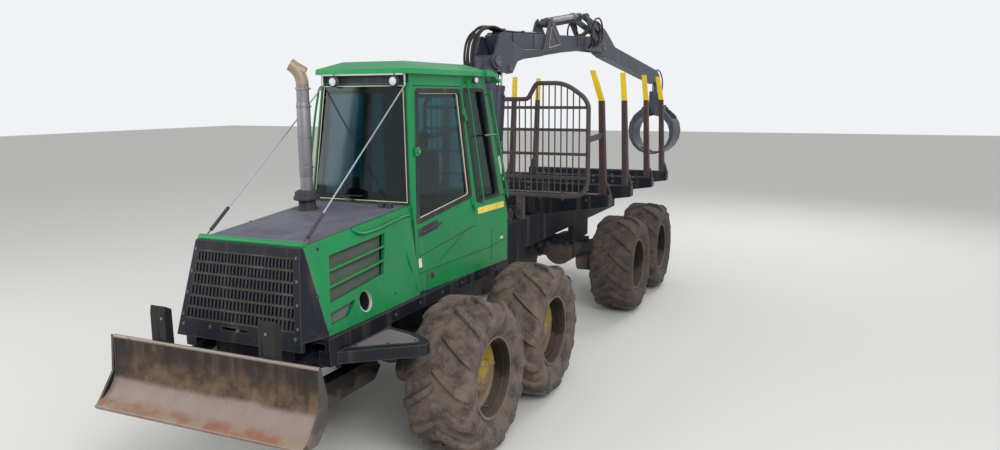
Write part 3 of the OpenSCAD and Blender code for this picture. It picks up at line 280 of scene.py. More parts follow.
def start_material(name):
    """A material, its shader and the object's own coordinates."""
    material = bpy.data.materials.new(name)
    material.use_nodes = True
    tree = material.node_tree
    return material, tree.nodes["Principled BSDF"], tree.nodes.new("ShaderNodeTexCoord").outputs["Object"]


def bump(shader, height, strength, distance):
    """Relief on a shader's normal."""
    node = add(shader.id_data, "ShaderNodeBump", {"Height": height, "Strength": strength, "Distance": distance})
    wire(shader, {"Normal": node.outputs[0]})


def painted(name, paint, rough, coat, wear, low, high, soil, rust, dust, shine=0.3):
    """Paint on steel: faded and dusty, chipped along its edges, and muddy from a high place down to a low one."""
    material, shader, place = start_material(name)
    vary = use("Variation", place)
    chips = use("Edge wear", place, Amount=wear)
    rusty = use("Rust", place, Amount=rust, Light=chosen("rust"))
    mud = use("Soiling", place, Low=low, High=high, Amount=soil)
    tone = faded(vary["Broad"], paint, 0.86, 1.12)
    tone = blend(times(vary["Rain"], dust), tone, chosen("mud", 1.1))
    bare = blend(rusty["Mask"], chosen("steel", 0.8), rusty["Color"])
    tone = blend(chips["Mask"], tone, bare)
    tone = blend(times(rusty["Mask"], rust), tone, rusty["Color"])
    soiled = blend(vary["Broad"], chosen("wet_mud"), chosen("mud"))
    wire(shader, {"Base Color": blend(mud["Mask"], tone, soiled), "Specular IOR Level": shine})
    matt = most(mud["Mask"], times(vary["Rain"], 0.5))
    wire(shader, {"Roughness": span(matt, 0, 1, rough, 0.92)})
    if coat:
        wire(shader, {"Coat Weight": times(minus(1.0, mud["Mask"]), coat), "Coat Roughness": 0.18})
    relief = plus(times(mud["Height"], 1.5), times(vary["Grain"], 0.06))
    bump(shader, minus(relief, times(chips["Mask"], 0.12)), 0.5, 0.004)
    return material


def muddy_rubber():
    """Tyre rubber under caked mud: damp and dark in the grooves, dry and pale on top."""
    material, shader, place = start_material("Muddy tyre")
    lumps = speckle(place, 7, 8, 0.7)
    clods = speckle(place, 34, 8, 0.75)
    grit = speckle(place, 160, 4, 0.8)
    earth = blend(span(lumps, 0.36, 0.62), chosen("wet_mud", 0.8), chosen("mud", 0.84))
    earth = blend(span(clods, 0.5, 0.72, 0, 0.5), earth, chosen("mud", 1.05))
    bare = span(plus(lumps, times(clods, 0.3)), 0.56, 0.5, 0, 0.4)
    earth = blend(bare, earth, linear((0.16, 0.155, 0.155)))
    # The rear wheels, further down the machine, are darker
    rear = span(axis_of(place, "Y"), -1.0, 1.0, 0, 0.5)
    wire(shader, {"Base Color": blend(rear, earth, linear((0.17, 0.155, 0.15))),
                  "Roughness": span(lumps, 0.3, 0.6, 0.62, 0.95)})
    bump(shader, plus(times(clods, 1.0), times(grit, 0.35)), 0.75, 0.012)
    return material


def blade_steel():
    """Worn blade steel: brown rust above, ground to pink and orange bands towards the edge."""
    material, shader, place = start_material("Blade steel")
    height = axis_of(place, "Z")
    rusty = use("Rust", place, Scale=2.6, Amount=0.9, Light=linear((0.5, 0.36, 0.24)),
                Dark=linear((0.24, 0.18, 0.15)))
    streaks = speckle(place, 9, 6, 0.7, (1, 1, 0.1))
    z = plus(height, times(minus(speckle(place, 3, 4, 0.6), 0.5), 0.05))
    patches = speckle(place, 4.5, 7, 0.7)
    fine = speckle(place, 28, 6, 0.75, (1, 1, 0.35))
    upper = blend(span(patches, 0.38, 0.66), linear((0.22, 0.175, 0.155)), linear((0.42, 0.34, 0.25)))
    upper = blend(span(streaks, 0.5, 0.7, 0, 0.75), upper, linear((0.15, 0.12, 0.115)))
    upper = blend(span(fine, 0.58, 0.72, 0, 0.45), upper, linear((0.42, 0.29, 0.22)))
    drip = times(span(height, 1.02, 1.22), span(streaks, 0.28, 0.55))
    upper = blend(times(drip, 0.9), upper, linear((0.12, 0.1, 0.1)))
    pink = blend(streaks, linear((0.47, 0.41, 0.39)), linear((0.6, 0.53, 0.5)))
    pink = blend(span(fine, 0.55, 0.7, 0, 0.4), pink, linear((0.42, 0.32, 0.29)))
    orange = blend(span(patches, 0.44, 0.6), linear((0.56, 0.49, 0.42)), linear((0.54, 0.37, 0.29)))
    low = blend(span(z, 0.812, 0.85), orange, pink)
    tone = blend(span(z, 0.925, 0.975), low, upper)
    worn = use("Edge wear", place, Amount=1.0, Radius=0.016)["Mask"]
    wire(shader, {"Base Color": blend(worn, tone, chosen("steel", 1.1)),
                  "Roughness": span(z, 0.84, 1.0, 0.52, 0.8), "Metallic": times(worn, 0.6)})
    bump(shader, plus(rusty["Height"], times(speckle(place, 90, 6, 0.8), 0.4)), 0.5, 0.006)
    return material


def bare_metal(name, tone, rough, metallic, rust, low, high, soil):
    """Unpainted metal, stained by rust and soil."""
    material, shader, place = start_material(name)
    vary = use("Variation", place)
    rusty = use("Rust", place, Scale=8.0, Amount=rust, Light=chosen("rust"))
    mud = use("Soiling", place, Low=low, High=high, Amount=soil)
    stained = blend(rusty["Mask"], faded(vary["Broad"], tone), rusty["Color"])
    wire(shader, {"Base Color": blend(mud["Mask"], stained, chosen("mud"))})
    dull = most(mud["Mask"], rusty["Mask"])
    wire(shader, {"Roughness": span(dull, 0, 1, rough, 0.85), "Metallic": span(dull, 0, 1, metallic, 0)})
    bump(shader, plus(vary["Grain"], rusty["Height"]), 0.25, 0.003)
    return material


def tread_plate():
    """The hood's anti-slip cover: a coarse sanded paint with trodden dirt."""
    material, shader, place = start_material("Anti-slip cover")
    grit = speckle(place, 420, 2, 0.6)
    trodden = speckle(place, 2.4, 6, 0.65)
    tone = blend(span(trodden, 0.35, 0.7), chosen("tread_plate", 0.88), chosen("tread_plate", 1.14))
    wire(shader, {"Base Color": blend(span(grit, 0.45, 0.8, 0, 0.35), tone, chosen("tread_plate", 0.6)),
                  "Roughness": span(grit, 0.3, 0.7, 0.7, 0.95)})
    bump(shader, grit, 0.6, 0.003)
    return material


def window_glass():
    """Tinted glass with a faint smear."""
    material, shader, place = start_material("Tinted glass")
    smear = speckle(place, 2.2, 5, 0.6, (1, 1, 0.3))
    wire(shader, {"Base Color": blend(smear, linear((0.28, 0.57, 0.6)), linear((0.38, 0.66, 0.7))),
                  "Roughness": span(smear, 0.3, 0.8, 0.01, 0.09), "Transmission Weight": 1.0, "IOR": 1.45})
    return material


def plain(name, tone, rough, grain, depth, metallic=0, dust=0.3):
    """Moulded plastic, rubber or cloth: one tone with a fine grain and a little dust."""
    material, shader, place = start_material(name)
    vary = use("Variation", place, Scale=3.0)
    fine = speckle(place, grain, 3, 0.6)
    body = faded(vary["Broad"], tone)
    wire(shader, {"Base Color": blend(times(vary["Rain"], dust), body, chosen("mud")),
                  "Roughness": span(fine, 0.3, 0.7, rough, min(rough + 0.15, 1.0)), "Metallic": metallic})
    bump(shader, fine, 0.4, depth)
    return material


MATERIALS = {}


def make_materials():
    """Every material. The numbers stand in the order that the functions above name them."""
    colours = bpy.context.scene.forwarder_colours
    dark = colours.dark
    MATERIALS.update(
        green=painted("Green paint", colours.green, 0.34, 0.15, 0.35, 0.9, 1.55, 0.5, 0.05, 0.1),
        # The roof is the cab's green made lighter: painted light falling on the top of the cab
        roof=painted("Roof paint", shade(colours.green, 1.12), 0.38, 0.15, 0.35, 0.2, 0.9, 0.5, 0.05, 0.22),
        frame=painted("Frame paint", dark, 0.45, 0, 0.5, 0.3, 1.2, 0.45, 0.15, 0.14, 0.25),
        under=painted("Muddy frame paint", dark, 0.6, 0, 0.6, 0.35, 1.1, 0.6, 0.25, 0.2, 0.25),
        grille=painted("Grille paint", shade(dark, 1.05), 0.5, 0, 0.4, 0.9, 1.6, 0.16, 0.05, 0.16, 0.25),
        crane=painted("Crane paint", colours.crane, 0.4, 0.1, 0.8, 0.6, 2.0, 0.6, 0.25, 0.22),
        rail=painted("Headboard steel", (0.31, 0.275, 0.285), 0.6, 0, 0.7, 0.8, 2.0, 0.3, 0.4, 0.2),
        stake=painted("Stake steel", (0.25, 0.2, 0.195), 0.6, 0, 0.8, 1.0, 2.2, 0.5, 0.5, 0.3),
        tip=painted("Yellow paint", colours.tip, 0.4, 0.2, 0.45, 0.5, 1.0, 0.5, 0.05, 0.12),
        rim=painted("Rim paint", shade(colours.rim, 0.8), 0.6, 0, 0.6, 0.38, 1.02, 0.8, 0.3, 0.42),
        rim_lip=painted("Muddy rim lip", (0.46, 0.4, 0.34), 0.85, 0, 0.3, 0.4, 1.05, 0.7, 0.2, 0.5),
        ridge=plain("Dusty ridge", (0.3, 0.26, 0.22), 0.9, 90, 0.002, 0, 0.5),
        dull=bare_metal("Dull rod", (0.4, 0.41, 0.44), 0.4, 0.6, 0.1, 0.3, 1.2, 0.3),
        # The rims' recess: dark dirt, darkened further by painted shade in the hollow
        rim_dark=painted("Rim recess", (0.14, 0.12, 0.1), 0.9, 0, 0.1, 0.3, 0.9, 0.35, 0.2, 0.1),
        tyre=muddy_rubber(),
        blade=blade_steel(),
        brown=bare_metal("Brown steel", (0.125, 0.115, 0.115), 0.6, 0.2, 0.3, 0.4, 1.2, 0.25),
        end_plate=bare_metal("Mottled end plate", (0.3, 0.28, 0.275), 0.6, 0.3, 0.4, 0.5, 1.3, 0.4),
        edge=bare_metal("Worn edge", (0.56, 0.52, 0.49), 0.4, 0.6, 0.35, 0.4, 1.4, 0.3),
        # Near black: real soot in the exhaust's mouth, painted shade in the air inlets' ducts and the blade's splits
        soot=plain("Soot", (0.05, 0.05, 0.05), 0.95, 60, 0.002, 0, 0),
        mesh=plain("Wire mesh", (0.38, 0.42, 0.39), 0.5, 80, 0.0005, 0.3, 0.2),
        wire=bare_metal("Galvanised wire", (0.8, 0.81, 0.84), 0.3, 0.9, 0.05, 0.1, 0.3, 0),
        tread=painted("Worn tread plate", (0.46, 0.46, 0.5), 0.7, 0, 0.4, 0.8, 1.9, 0.45, 0.1, 0.3),
        pale=plain("Pale plastic", (0.74, 0.76, 0.74), 0.5, 90, 0.001, 0, 0.35),
        steel=bare_metal("Dull steel", (0.42, 0.42, 0.45), 0.45, 0.7, 0.25, 0.4, 1.6, 0.6),
        stack=bare_metal("Exhaust steel", (0.52, 0.52, 0.54), 0.5, 0.5, 0.22, 0.2, 1.0, 0.2),
        stack_top=bare_metal("Heated steel", (0.62, 0.55, 0.48), 0.55, 0.4, 0.4, 0.2, 1.0, 0.2),
        chrome=bare_metal("Chromed rod", (0.78, 0.78, 0.8), 0.12, 1.0, 0, 0.3, 1.2, 0.5),
        cover=tread_plate(),
        glass=window_glass(),
        rubber=plain("Hose rubber", (0.09, 0.09, 0.1), 0.55, 200, 0.001),
        seal=plain("Window seal", (0.13, 0.14, 0.17), 0.6, 150, 0.001),
        cream=plain("Inner seal", (0.8, 0.78, 0.66), 0.6, 150, 0.001, 0, 0.5),
        trim=plain("Cab trim", (0.22, 0.22, 0.24), 0.7, 250, 0.002),
        cloth=plain("Seat cloth", (0.15, 0.16, 0.18), 0.9, 380, 0.003),
        white=plain("White reflector", (0.88, 0.88, 0.86), 0.3, 60, 0.001),
        plate=plain("Blank plate", (0.88, 0.8, 0.35), 0.45, 60, 0.001),
        lens=plain("Lamp lens", (0.8, 0.82, 0.84), 0.15, 90, 0.002, 0, 0.2),
        engine=painted("Engine", (0.28, 0.28, 0.3), 0.6, 0, 0.6, 0.8, 1.6, 0.6, 0.3, 0.6),
    )


# Meshes

# Edges that turn by more than this are rounded
CORNER = math.radians(28)
# Faces of a CAD node that turn by less than this are one, and so are corners nearer than NODE_WELD, or WELD in a
# tube or a turned piece
FLAT = math.radians(0.5)
NODE_WELD, WELD = 3e-5, 1e-5
# How far a facetted pin is slimmed, and how near to its radius its corners are looked for
PIN_PLAY, PIN_NEAR = 0.0007, 0.0006


def finish(name, bm, material, body="front_frame", rounding=0, node=None, slot=None, sharp=35):
    """Makes a piece of a bmesh: edges rounded, normals outwards. It rides on a body, or stands for a CAD node."""
    bmesh.ops.recalc_face_normals(bm, faces=bm.faces)
    if rounding:
        edges = [e for e in bm.edges if len(e.link_faces) == 2 and e.calc_face_angle(0) > CORNER]
        bmesh.ops.bevel(bm, geom=edges, offset=rounding, offset_type="OFFSET", segments=2, profile=0.5,
                        affect="EDGES", clamp_overlap=True, material=-1)
    for face in bm.faces:
        face.smooth = True
    for edge in bm.edges:
        if len(edge.link_faces) == 2 and edge.calc_face_angle(0) > math.radians(sharp):
            edge.smooth = False
    mesh = bpy.data.meshes.new(name)
    bm.to_mesh(mesh)
    bm.free()
    mesh.materials.append(MATERIALS[material])
    piece = bpy.data.objects.new(name, mesh)
    bpy.context.scene.collection.objects.link(piece)
    if rounding:
        piece.modifiers.new("Weighted normals", "WEIGHTED_NORMAL").keep_sharp = True
    if node:
        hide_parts(node)
        body, slot = body_of_node(node), slot_of_node(node)
    if body:
        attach(piece, body)
    return piece


def body_of_node(node):
    return next(body for body, nodes in frame["record"]["behaviour"]["bodies"].items() if node in nodes)


def slot_of_node(node):
    return next(part["material_slot"] for part in frame["record"]["subparts"] if part["node"] == node)


def build(name, material, rounding, *shapes, body="front_frame", mirror=False, **options):
    """A piece of shapes, each a function with its own values, and their mirror images if asked."""
    bm = bmesh.new()
    for shape, *values in shapes:
        shape(bm, *values)
    if mirror:
        mirror_over(bm)
    return finish(name, bm, material, body, rounding, **options)


def node_mesh(node):
    """A copy of a CAD node's mesh, with its corners merged and its flat faces joined."""
    bm = bmesh.new()
    bm.from_mesh(frame["nodes"][node].data)
    bmesh.ops.remove_doubles(bm, verts=bm.verts, dist=NODE_WELD)
    bmesh.ops.dissolve_limit(bm, angle_limit=FLAT, verts=bm.verts, edges=bm.edges)
    return bm


def dress(node, material, rounding, pins=()):
    """A copy of a CAD node with rounded edges stands for it; its facetted pins are slimmed to turn freely."""
    bm = node_mesh(node)
    for centre, way, radius in pins:
        for vert in bm.verts:
            out = vert.co - centre
            out -= way * out.dot(way)
            if abs(out.length - radius) < PIN_NEAR:
                vert.co -= out.normalized() * PIN_PLAY
    return finish("dressed_" + node, bm, material, rounding=rounding, node=node)


def block(bm, low, high):
    """A box between two corners."""
    low, high = Vector(low), Vector(high)
    place = Matrix.Translation((low + high) / 2) @ Matrix.Diagonal((*(high - low), 1))
    bmesh.ops.create_cube(bm, size=1, matrix=place)


def rod(bm, start, end, radius, segments=24, end_radius=None):
    """A straight round bar or cone between two points."""
    start, end = Vector(start), Vector(end)
    place = Matrix.Translation((start + end) / 2) @ along((0, 0, 0), end - start)
    bmesh.ops.create_cone(bm, cap_ends=True, segments=segments, radius1=radius, depth=(end - start).length,
                          radius2=radius if end_radius is None else end_radius, matrix=place)


def along(place, way):
    """A placement whose z axis runs along a direction."""
    return Matrix.Translation(place) @ Vector(way).to_track_quat("Z", "Y").to_matrix().to_4x4()


def prism(bm, outline, sweep):
    """A flat outline of points swept along a vector."""
    face = bm.faces.new([bm.verts.new(p) for p in outline])
    grown = bmesh.ops.extrude_face_region(bm, geom=[face])["geom"]
    bmesh.ops.translate(bm, verts=verts_of(grown), vec=sweep)


def verts_of(geometry):
    return [v for v in geometry if isinstance(v, bmesh.types.BMVert)]


# How deep a bolt's washer sits and how high it stands; its width, and the head's height and top, in bolt radii
WASHER_LOW, WASHER_HIGH = 0.001, 0.003
WASHER_WIDE, HEAD_HIGH, HEAD_TOP = 1.5, 0.9, 0.93


def bolt(bm, place, way, radius=None):
    """A hexagonal bolt head on its washer, standing out along a direction."""
    radius = radius or bpy.context.scene.forwarder_sizes.bolt_radius
    way = Vector(way).normalized()
    place = Vector(place)
    rod(bm, place - way * WASHER_LOW, place + way * WASHER_HIGH, radius * WASHER_WIDE, 20)
    rod(bm, place, place + way * radius * HEAD_HIGH, radius, 6, radius * HEAD_TOP)


def tube(name, points, radius, material, body="front_frame", smooth=True, resolution=8, closed=False, node=None):
    """A round tube or hose through points, as a mesh."""
    curve = bpy.data.curves.new(name, "CURVE")
    curve.dimensions = "3D"
    curve.bevel_depth = radius
    curve.bevel_resolution = 3
    curve.resolution_u = resolution
    curve.use_fill_caps = True
    spline = curve.splines.new("BEZIER" if smooth else "POLY")
    knots = spline.bezier_points if smooth else spline.points
    knots.add(len(points) - 1)
    for knot, place in zip(knots, points):
        if smooth:
            knot.co = place
            knot.handle_left_type = knot.handle_right_type = "AUTO"
        else:
            knot.co = (*place, 1)
    spline.use_cyclic_u = closed
    holder = bpy.data.objects.new(name, curve)
    bm = bmesh.new()
    bm.from_mesh(bpy.data.meshes.new_from_object(holder))
    bpy.data.objects.remove(holder)
    bmesh.ops.remove_doubles(bm, verts=bm.verts, dist=WELD)
    return finish(name, bm, material, body, node=node, sharp=50)


def hose(name, points, radius, start, end):
    """A hose through points, baked into place on no body; its start and end are not used."""
    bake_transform(tube(name, points, radius, "rubber", None, resolution=12))


# Walls that pieces stand on. Each takes two places along the wall and one outward from it.


def wall(origin, turn, lean, axes):
    """A wall as a function of two places on it and one outward; axes says which of x, y and z each one is."""
    place = Matrix.Translation(at(*origin)) @ Matrix.Rotation(turn, 4, "Z") @ Matrix.Rotation(lean, 4, axes[0])

    def point(first, second, out=0):
        local = Vector()
        for (axis, sign), value in zip(axes[1], (first, second, out)):
            local[axis] = sign * value
        return place @ local

    return point


# The cab's walls, as in the part's source: half width, front, rear, foot and knee, and how far each leans
CAB_HALF, CAB_FRONT_Y, CAB_REAR_Y, CAB_FOOT_Z, CAB_KNEE_Z = 0.6, -0.66, 1.1, 1.3, 1.78
CAB_FLARE, CAB_SIDE_LEAN, CAB_FRONT_LEAN, CAB_REAR_LEAN = 0.085, 0.0848, 0.1, 0.185
CAB_TURN = math.atan(CAB_FLARE)
HOOD_FALL = math.atan(0.07885)

SIDE_AXES = ("Y", ((1, 1), (2, 1), (0, 1)))
FRONT_AXES = ("X", ((0, 1), (2, 1), (1, -1)))
REAR_AXES = ("X", ((0, 1), (2, 1), (1, 1)))
TOP_AXES = ("X", ((0, 1), (1, 1), (2, 1)))

on_hood = wall((0.64, 0, 1.3), 0, -math.atan(0.145 / 0.65), SIDE_AXES)
on_nose = wall((0, -2.2165, 1.3), 0, math.atan(-0.21), FRONT_AXES)
on_hood_top = wall((0, -2.05, 1.95), 0, HOOD_FALL, TOP_AXES)
on_cab = wall((CAB_HALF, CAB_FRONT_Y, CAB_FOOT_Z), -CAB_TURN, -math.atan(CAB_SIDE_LEAN * math.cos(CAB_TURN)), SIDE_AXES)
on_cab_front = wall((0, CAB_FRONT_Y, CAB_FOOT_Z), 0, -math.atan(CAB_FRONT_LEAN), FRONT_AXES)
on_cab_rear = wall((0, CAB_REAR_Y, CAB_KNEE_Z), 0, math.atan(CAB_REAR_LEAN), REAR_AXES)
on_step = wall((0, 0, 1.18), 0, 0, TOP_AXES)


def on_cab_right(*spot):
    """The mirror image of the cab's left side."""
    return Matrix.Diagonal((-1, 1, 1)) @ on_cab(*spot)


def inset(corners, by):
    """The corners of a convex outline, moved inward, or outward where by is negative."""
    corners = [Vector(c) for c in corners]
    moved = []
    for i, corner in enumerate(corners):
        back = (corners[i - 1] - corner).normalized()
        ahead = (corners[(i + 1) % len(corners)] - corner).normalized()
        moved.append(corner + (back + ahead) * by / abs(back.cross(ahead)))
    return moved


def rounded(corners, radius, steps=6):
    """An outline with each corner turned into a curve."""
    corners = [Vector(c) for c in corners]
    line = []
    for i, corner in enumerate(corners):
        back = corner + (corners[i - 1] - corner).normalized() * radius
        ahead = corner + (corners[(i + 1) % len(corners)] - corner).normalized() * radius
        for k in range(steps + 1):
            t = k / steps
            line.append(back * (1 - t) ** 2 + corner * 2 * t * (1 - t) + ahead * t * t)
    return line


def circle(centre, radius, steps=40, first=0):
    """Places round a circle, from a share of a step after its start."""
    turns = [math.tau * (k + first) / steps for k in range(steps)]
    return [(centre[0] + radius * math.cos(turn), centre[1] + radius * math.sin(turn)) for turn in turns]


def skin(bm, rings, caps=False):
    """Faces between rings of as many points, and over the first and the last ring."""
    for a, b in zip(rings, rings[1:]):
        for i in range(len(a)):
            j = (i + 1) % len(a)
            bm.faces.new((a[i], a[j], b[j], b[i]))
    for ends in (rings[0], rings[-1]) if caps else ():
        bm.faces.new(ends)


def ring(bm, place, outer, inner, low, high):
    """A closed band on a wall between two outlines of as many points, from one depth to another."""
    loops = [[bm.verts.new(place(*p, out)) for p in line]
             for line, out in ((outer, low), (outer, high), (inner, high), (inner, low))]
    skin(bm, loops + loops[:1])


def plate(bm, place, outline, low, high):
    """A flat plate on a wall, from one depth to another."""
    start = place(*outline[0], low)
    prism(bm, [place(*p, low) for p in outline], place(*outline[0], high) - start)


def strip(bm, place, start, end, width, low, high):
    """A straight strip on a wall between two places."""
    start, end = Vector(start), Vector(end)
    side = (end - start).normalized().orthogonal() * width / 2
    plate(bm, place, [start - side, end - side, end + side, start + side], low, high)


def beam(bm, place, start, end, out, radius, segments=24):
    """A round bar along a wall, at one distance from it."""
    rod(bm, place(*start, out), place(*end, out), radius, segments)


def peg(bm, place, spot, low, high, radius, segments=24):
    """A round bar that stands on a wall."""
    rod(bm, place(*spot, low), place(*spot, high), radius, segments)


def stud(bm, place, spot, out, radius):
    """A bolt that stands on a wall."""
    bolt(bm, place(*spot, out), place(*spot, 1) - place(*spot, 0), radius)


def mirror_over(bm):
    """Adds the mirror image across the machine's middle."""
    grown = bmesh.ops.duplicate(bm, geom=bm.verts[:] + bm.edges[:] + bm.faces[:])["geom"]
    bmesh.ops.scale(bm, vec=(-1, 1, 1), verts=verts_of(grown))


def lathe(bm, profile, place=Matrix(), steps=96):
    """Spins a profile of (radius, height) points round the z axis of a placement."""
    start = [bm.verts.new(place @ Vector((r, 0, z))) for r, z in profile]
    edges = [bm.edges.new(pair) for pair in zip(start, start[1:])]
    if profile[0] == profile[-1]:
        edges.append(bm.edges.new((start[-1], start[0])))
    bmesh.ops.spin(bm, geom=start + edges, cent=place.translation, axis=place.to_3x3() @ Vector((0, 0, 1)),
                   angle=math.tau, steps=steps, use_merge=True)
    bmesh.ops.remove_doubles(bm, verts=bm.verts, dist=WELD)


def paint_faces(piece, materials, pick):
    """More materials on a piece: pick(centre, normal) gives the index of a face's material."""
    for material in materials:
        piece.data.materials.append(MATERIALS[material])
    for face in piece.data.polygons:
        face.material_index = pick(face.center, face.normal)


# Pieces, each made by its operator


class DressedFrames(bpy.types.Operator):
    """Rounds the edges of the plain plates of the frames, the cab and the crane and gives them their finish."""

    bl_idname = "forwarder.dressed_frames"
    bl_label = "Frames and plates"

    # Each node's material and rounding
    NODES = {
        "front_chassis": ("frame", 0.004), "front_bogie": ("under", 0.008), "engine": ("engine", 0.01),
        "hood": ("green", 0.006), "grille": ("grille", 0), "window_guards": ("green", 0),
        "blade_barrels": ("frame", 0.002), "blade_rods": ("chrome", 0.001), "centre_joint": ("under", 0.004),
        "steer_barrel_left": ("under", 0.002), "steer_barrel_right": ("under", 0.002),
        "steer_rod_left": ("chrome", 0.001), "steer_rod_right": ("chrome", 0.001),
        "rear_chassis": ("under", 0.005), "rear_bogie": ("under", 0.008), "bunks": ("frame", 0.006),
        "crane_column": ("crane", 0.005), "lift_barrel": ("crane", 0.002), "lift_rod": ("chrome", 0.001),
        "main_boom": ("crane", 0.004), "fold_barrel": ("crane", 0.002), "fold_rod": ("dull", 0.001),
        "fold_links": ("crane", 0.003), "fold_struts": ("crane", 0.003), "outer_boom": ("crane", 0.004),
        "extension": ("crane", 0.003), "rotator_link": ("crane", 0.003), "grapple_head": ("crane", 0.005),
        "jaw_left": ("crane", 0.003), "jaw_right": ("crane", 0.003),
    }
    TURNBUCKLES_Z = (1.985, 2.165)
    # The panels' thickness, and how far the rear panel leans in below its knee
    WALL, LOW_LEAN = 0.046, 0.09 / 0.48

    def execute(self, context):
        pins = {"front_chassis": [(at(0, -1.25, 0.8), Vector((1, 0, 0)), 0.045)],
                "main_boom": [(on_crane(3.33, 3.74), BOOM_SIDE, 0.045), (on_crane(1.61, 3.97), BOOM_SIDE, 0.03)]}
        for node, (material, rounding) in self.NODES.items():
            dress(node, material, rounding, pins.get(node, ()))
        low, high = self.TURNBUCKLES_Z
        paint_faces(dress("guard_wires", "wire", 0), ("trim",), lambda place, normal: int(low < place.z < high))
        # The cab's panels are green outside and have a dark lining inside
        for node in ("cab_shell", "door"):
            paint_faces(dress(node, "green", 0.006), ("trim",), self.inside_cab)
        return {"FINISHED"}

    def inside_cab(self, place, normal):
        """1 where a face lies inside the panels, 0 outside."""
        x, y, z = abs(place.x), place.y + MID_Y, place.z
        side = CAB_HALF + CAB_FLARE * (y - CAB_FRONT_Y) - CAB_SIDE_LEAN * (z - CAB_FOOT_Z)
        front = CAB_FRONT_Y + CAB_FRONT_LEAN * (z - CAB_FOOT_Z)
        fall = self.LOW_LEAN * (CAB_KNEE_Z - z) if z < CAB_KNEE_Z else CAB_REAR_LEAN * (z - CAB_KNEE_Z)
        return int(x < side - self.WALL and front + self.WALL < y < CAB_REAR_Y - fall - self.WALL)


AXLES_Y = (-0.735, 0.735, 4.205, 5.675)
AXLE_Z, TRACK = 0.67, 1.13


def wheels():
    """Each wheel's name, its placement with the z axis outward along the axle, and a seed for its mud."""
    for axle, y in enumerate(AXLES_Y, 1):
        for side, word in SIDES:
            place = Matrix.Translation(at(side * TRACK, y, AXLE_Z)) @ Matrix.Rotation(side * math.pi / 2, 4, "Y")
            yield f"{axle}_{word}", place, Vector((axle * 3.1, side * 7.7, 0))


def past(share, start, power):
    """How far a share lies past a start, from 0 to 1, curved by a power."""
    return max(0, (share - start) / (1 - start)) ** power


class Tyres(bpy.types.Operator):
    """Tyres with chevron lugs, rounded shoulders and mud packed between the lugs."""

    bl_idname = "forwarder.tyres"
    bl_label = "Tyres"

    RADIUS, CARCASS, TREAD_LOW = 0.67, 0.624, 0.56
    LUG_WIDTH, LUG_OUT, LUG_RINGS = 0.084, 0.286, 12
    # From which share of its length a lug's top and foot drop over the shoulder, and how far
    TOP_FROM, TOP_DROP, FOOT_FROM, FOOT_DROP = 0.72, 0.052, 0.6, 0.09
    # The mud's coarse and fine lumps, the fine ones' share, its even part, its height and how far it stays below
    # the lugs' tops
    LUMPS, GRAINS, GRAIN_SHARE, EVEN, MUD_HEIGHT, MUD_BELOW = 9, 31, 0.35, 0.15, 1.9, 0.006
    # Wear: from which radius, how much, and how fine
    WORN_FROM, WEAR, WEAR_SCALE = 0.6, 0.004, 16
    # Radius and half width, from the bead to the tread's middle
    PROFILE = ((0.3303, 0.237), (0.362, 0.2374), (0.372, 0.246), (0.4, 0.262), (0.418, 0.281), (0.428, 0.283),
               (0.445, 0.292), (0.478, 0.2955), (0.512, 0.296), (0.52, 0.2985), (0.529, 0.2985), (0.537, 0.294),
               (0.566, 0.284), (0.59, 0.262), (0.606, 0.232), (0.616, 0.19), (0.621, 0.13), (0.624, 0.065),
               (0.624, 0))

    def lug(self, bm, count, turn, side):
        """One lug: it runs out from the tread's middle, widens and drops over the shoulder."""
        reach = self.RADIUS * math.sin(math.pi / count) - self.LUG_WIDTH / 2
        rings = []
        for k in range(self.LUG_RINGS):
            share = k / (self.LUG_RINGS - 1)
            top = self.RADIUS - 0.002 - 0.012 * share - self.TOP_DROP * past(share, self.TOP_FROM, 1.6)
            low = self.CARCASS - 0.03 - self.FOOT_DROP * past(share, self.FOOT_FROM, 1.5)
            half = self.LUG_WIDTH / 2 * (0.86 + 0.22 * share)
            mid = -reach * (1 - 2 * share ** 0.92)
            line = []
            for along_lug, height in ((-half - 0.012, low), (-half, top - 0.012), (-half + 0.01, top - 0.001),
                                      (0, top), (half - 0.01, top - 0.001), (half, top - 0.012), (half + 0.012, low)):
                angle = turn + (mid + along_lug) / self.RADIUS
                spot = (height * math.cos(angle), height * math.sin(angle), side * self.LUG_OUT * share)
                line.append(bm.verts.new(spot))
            rings.append(line)
        skin(bm, rings, caps=True)

    def execute(self, context):
        sizes = context.scene.forwarder_sizes
        count = sizes.lug_count
        for name, place, seed in wheels():
            bm = bmesh.new()
            lathe(bm, [*self.PROFILE, *((r, -x) for r, x in reversed(self.PROFILE[:-1])), self.PROFILE[0]], steps=168)
            for vert in bm.verts:
                radius = vert.co.xy.length
                if radius > self.TREAD_LOW:
                    fine = self.GRAIN_SHARE * noise.noise(vert.co * self.GRAINS + seed)
                    lump = max(0, noise.noise(vert.co * self.LUMPS + seed) + fine + self.EVEN)
                    muddy = radius + sizes.mud_depth * self.MUD_HEIGHT * lump
                    vert.co.xy *= min(muddy, self.RADIUS - self.MUD_BELOW) / radius
            for shift, side in ((0, 1), (0.5, -1)):
                for k in range(count):
                    self.lug(bm, count, (k + shift) * math.tau / count, side)
            for vert in bm.verts:
                if vert.co.xy.length > self.WORN_FROM:
                    vert.co *= 1 - self.WEAR * max(0, noise.noise(vert.co * self.WEAR_SCALE + seed))
            bm.transform(place)
            finish("tyre_" + name + "_finished", bm, "tyre", node="tyre_" + name, sharp=40)
        return {"FINISHED"}


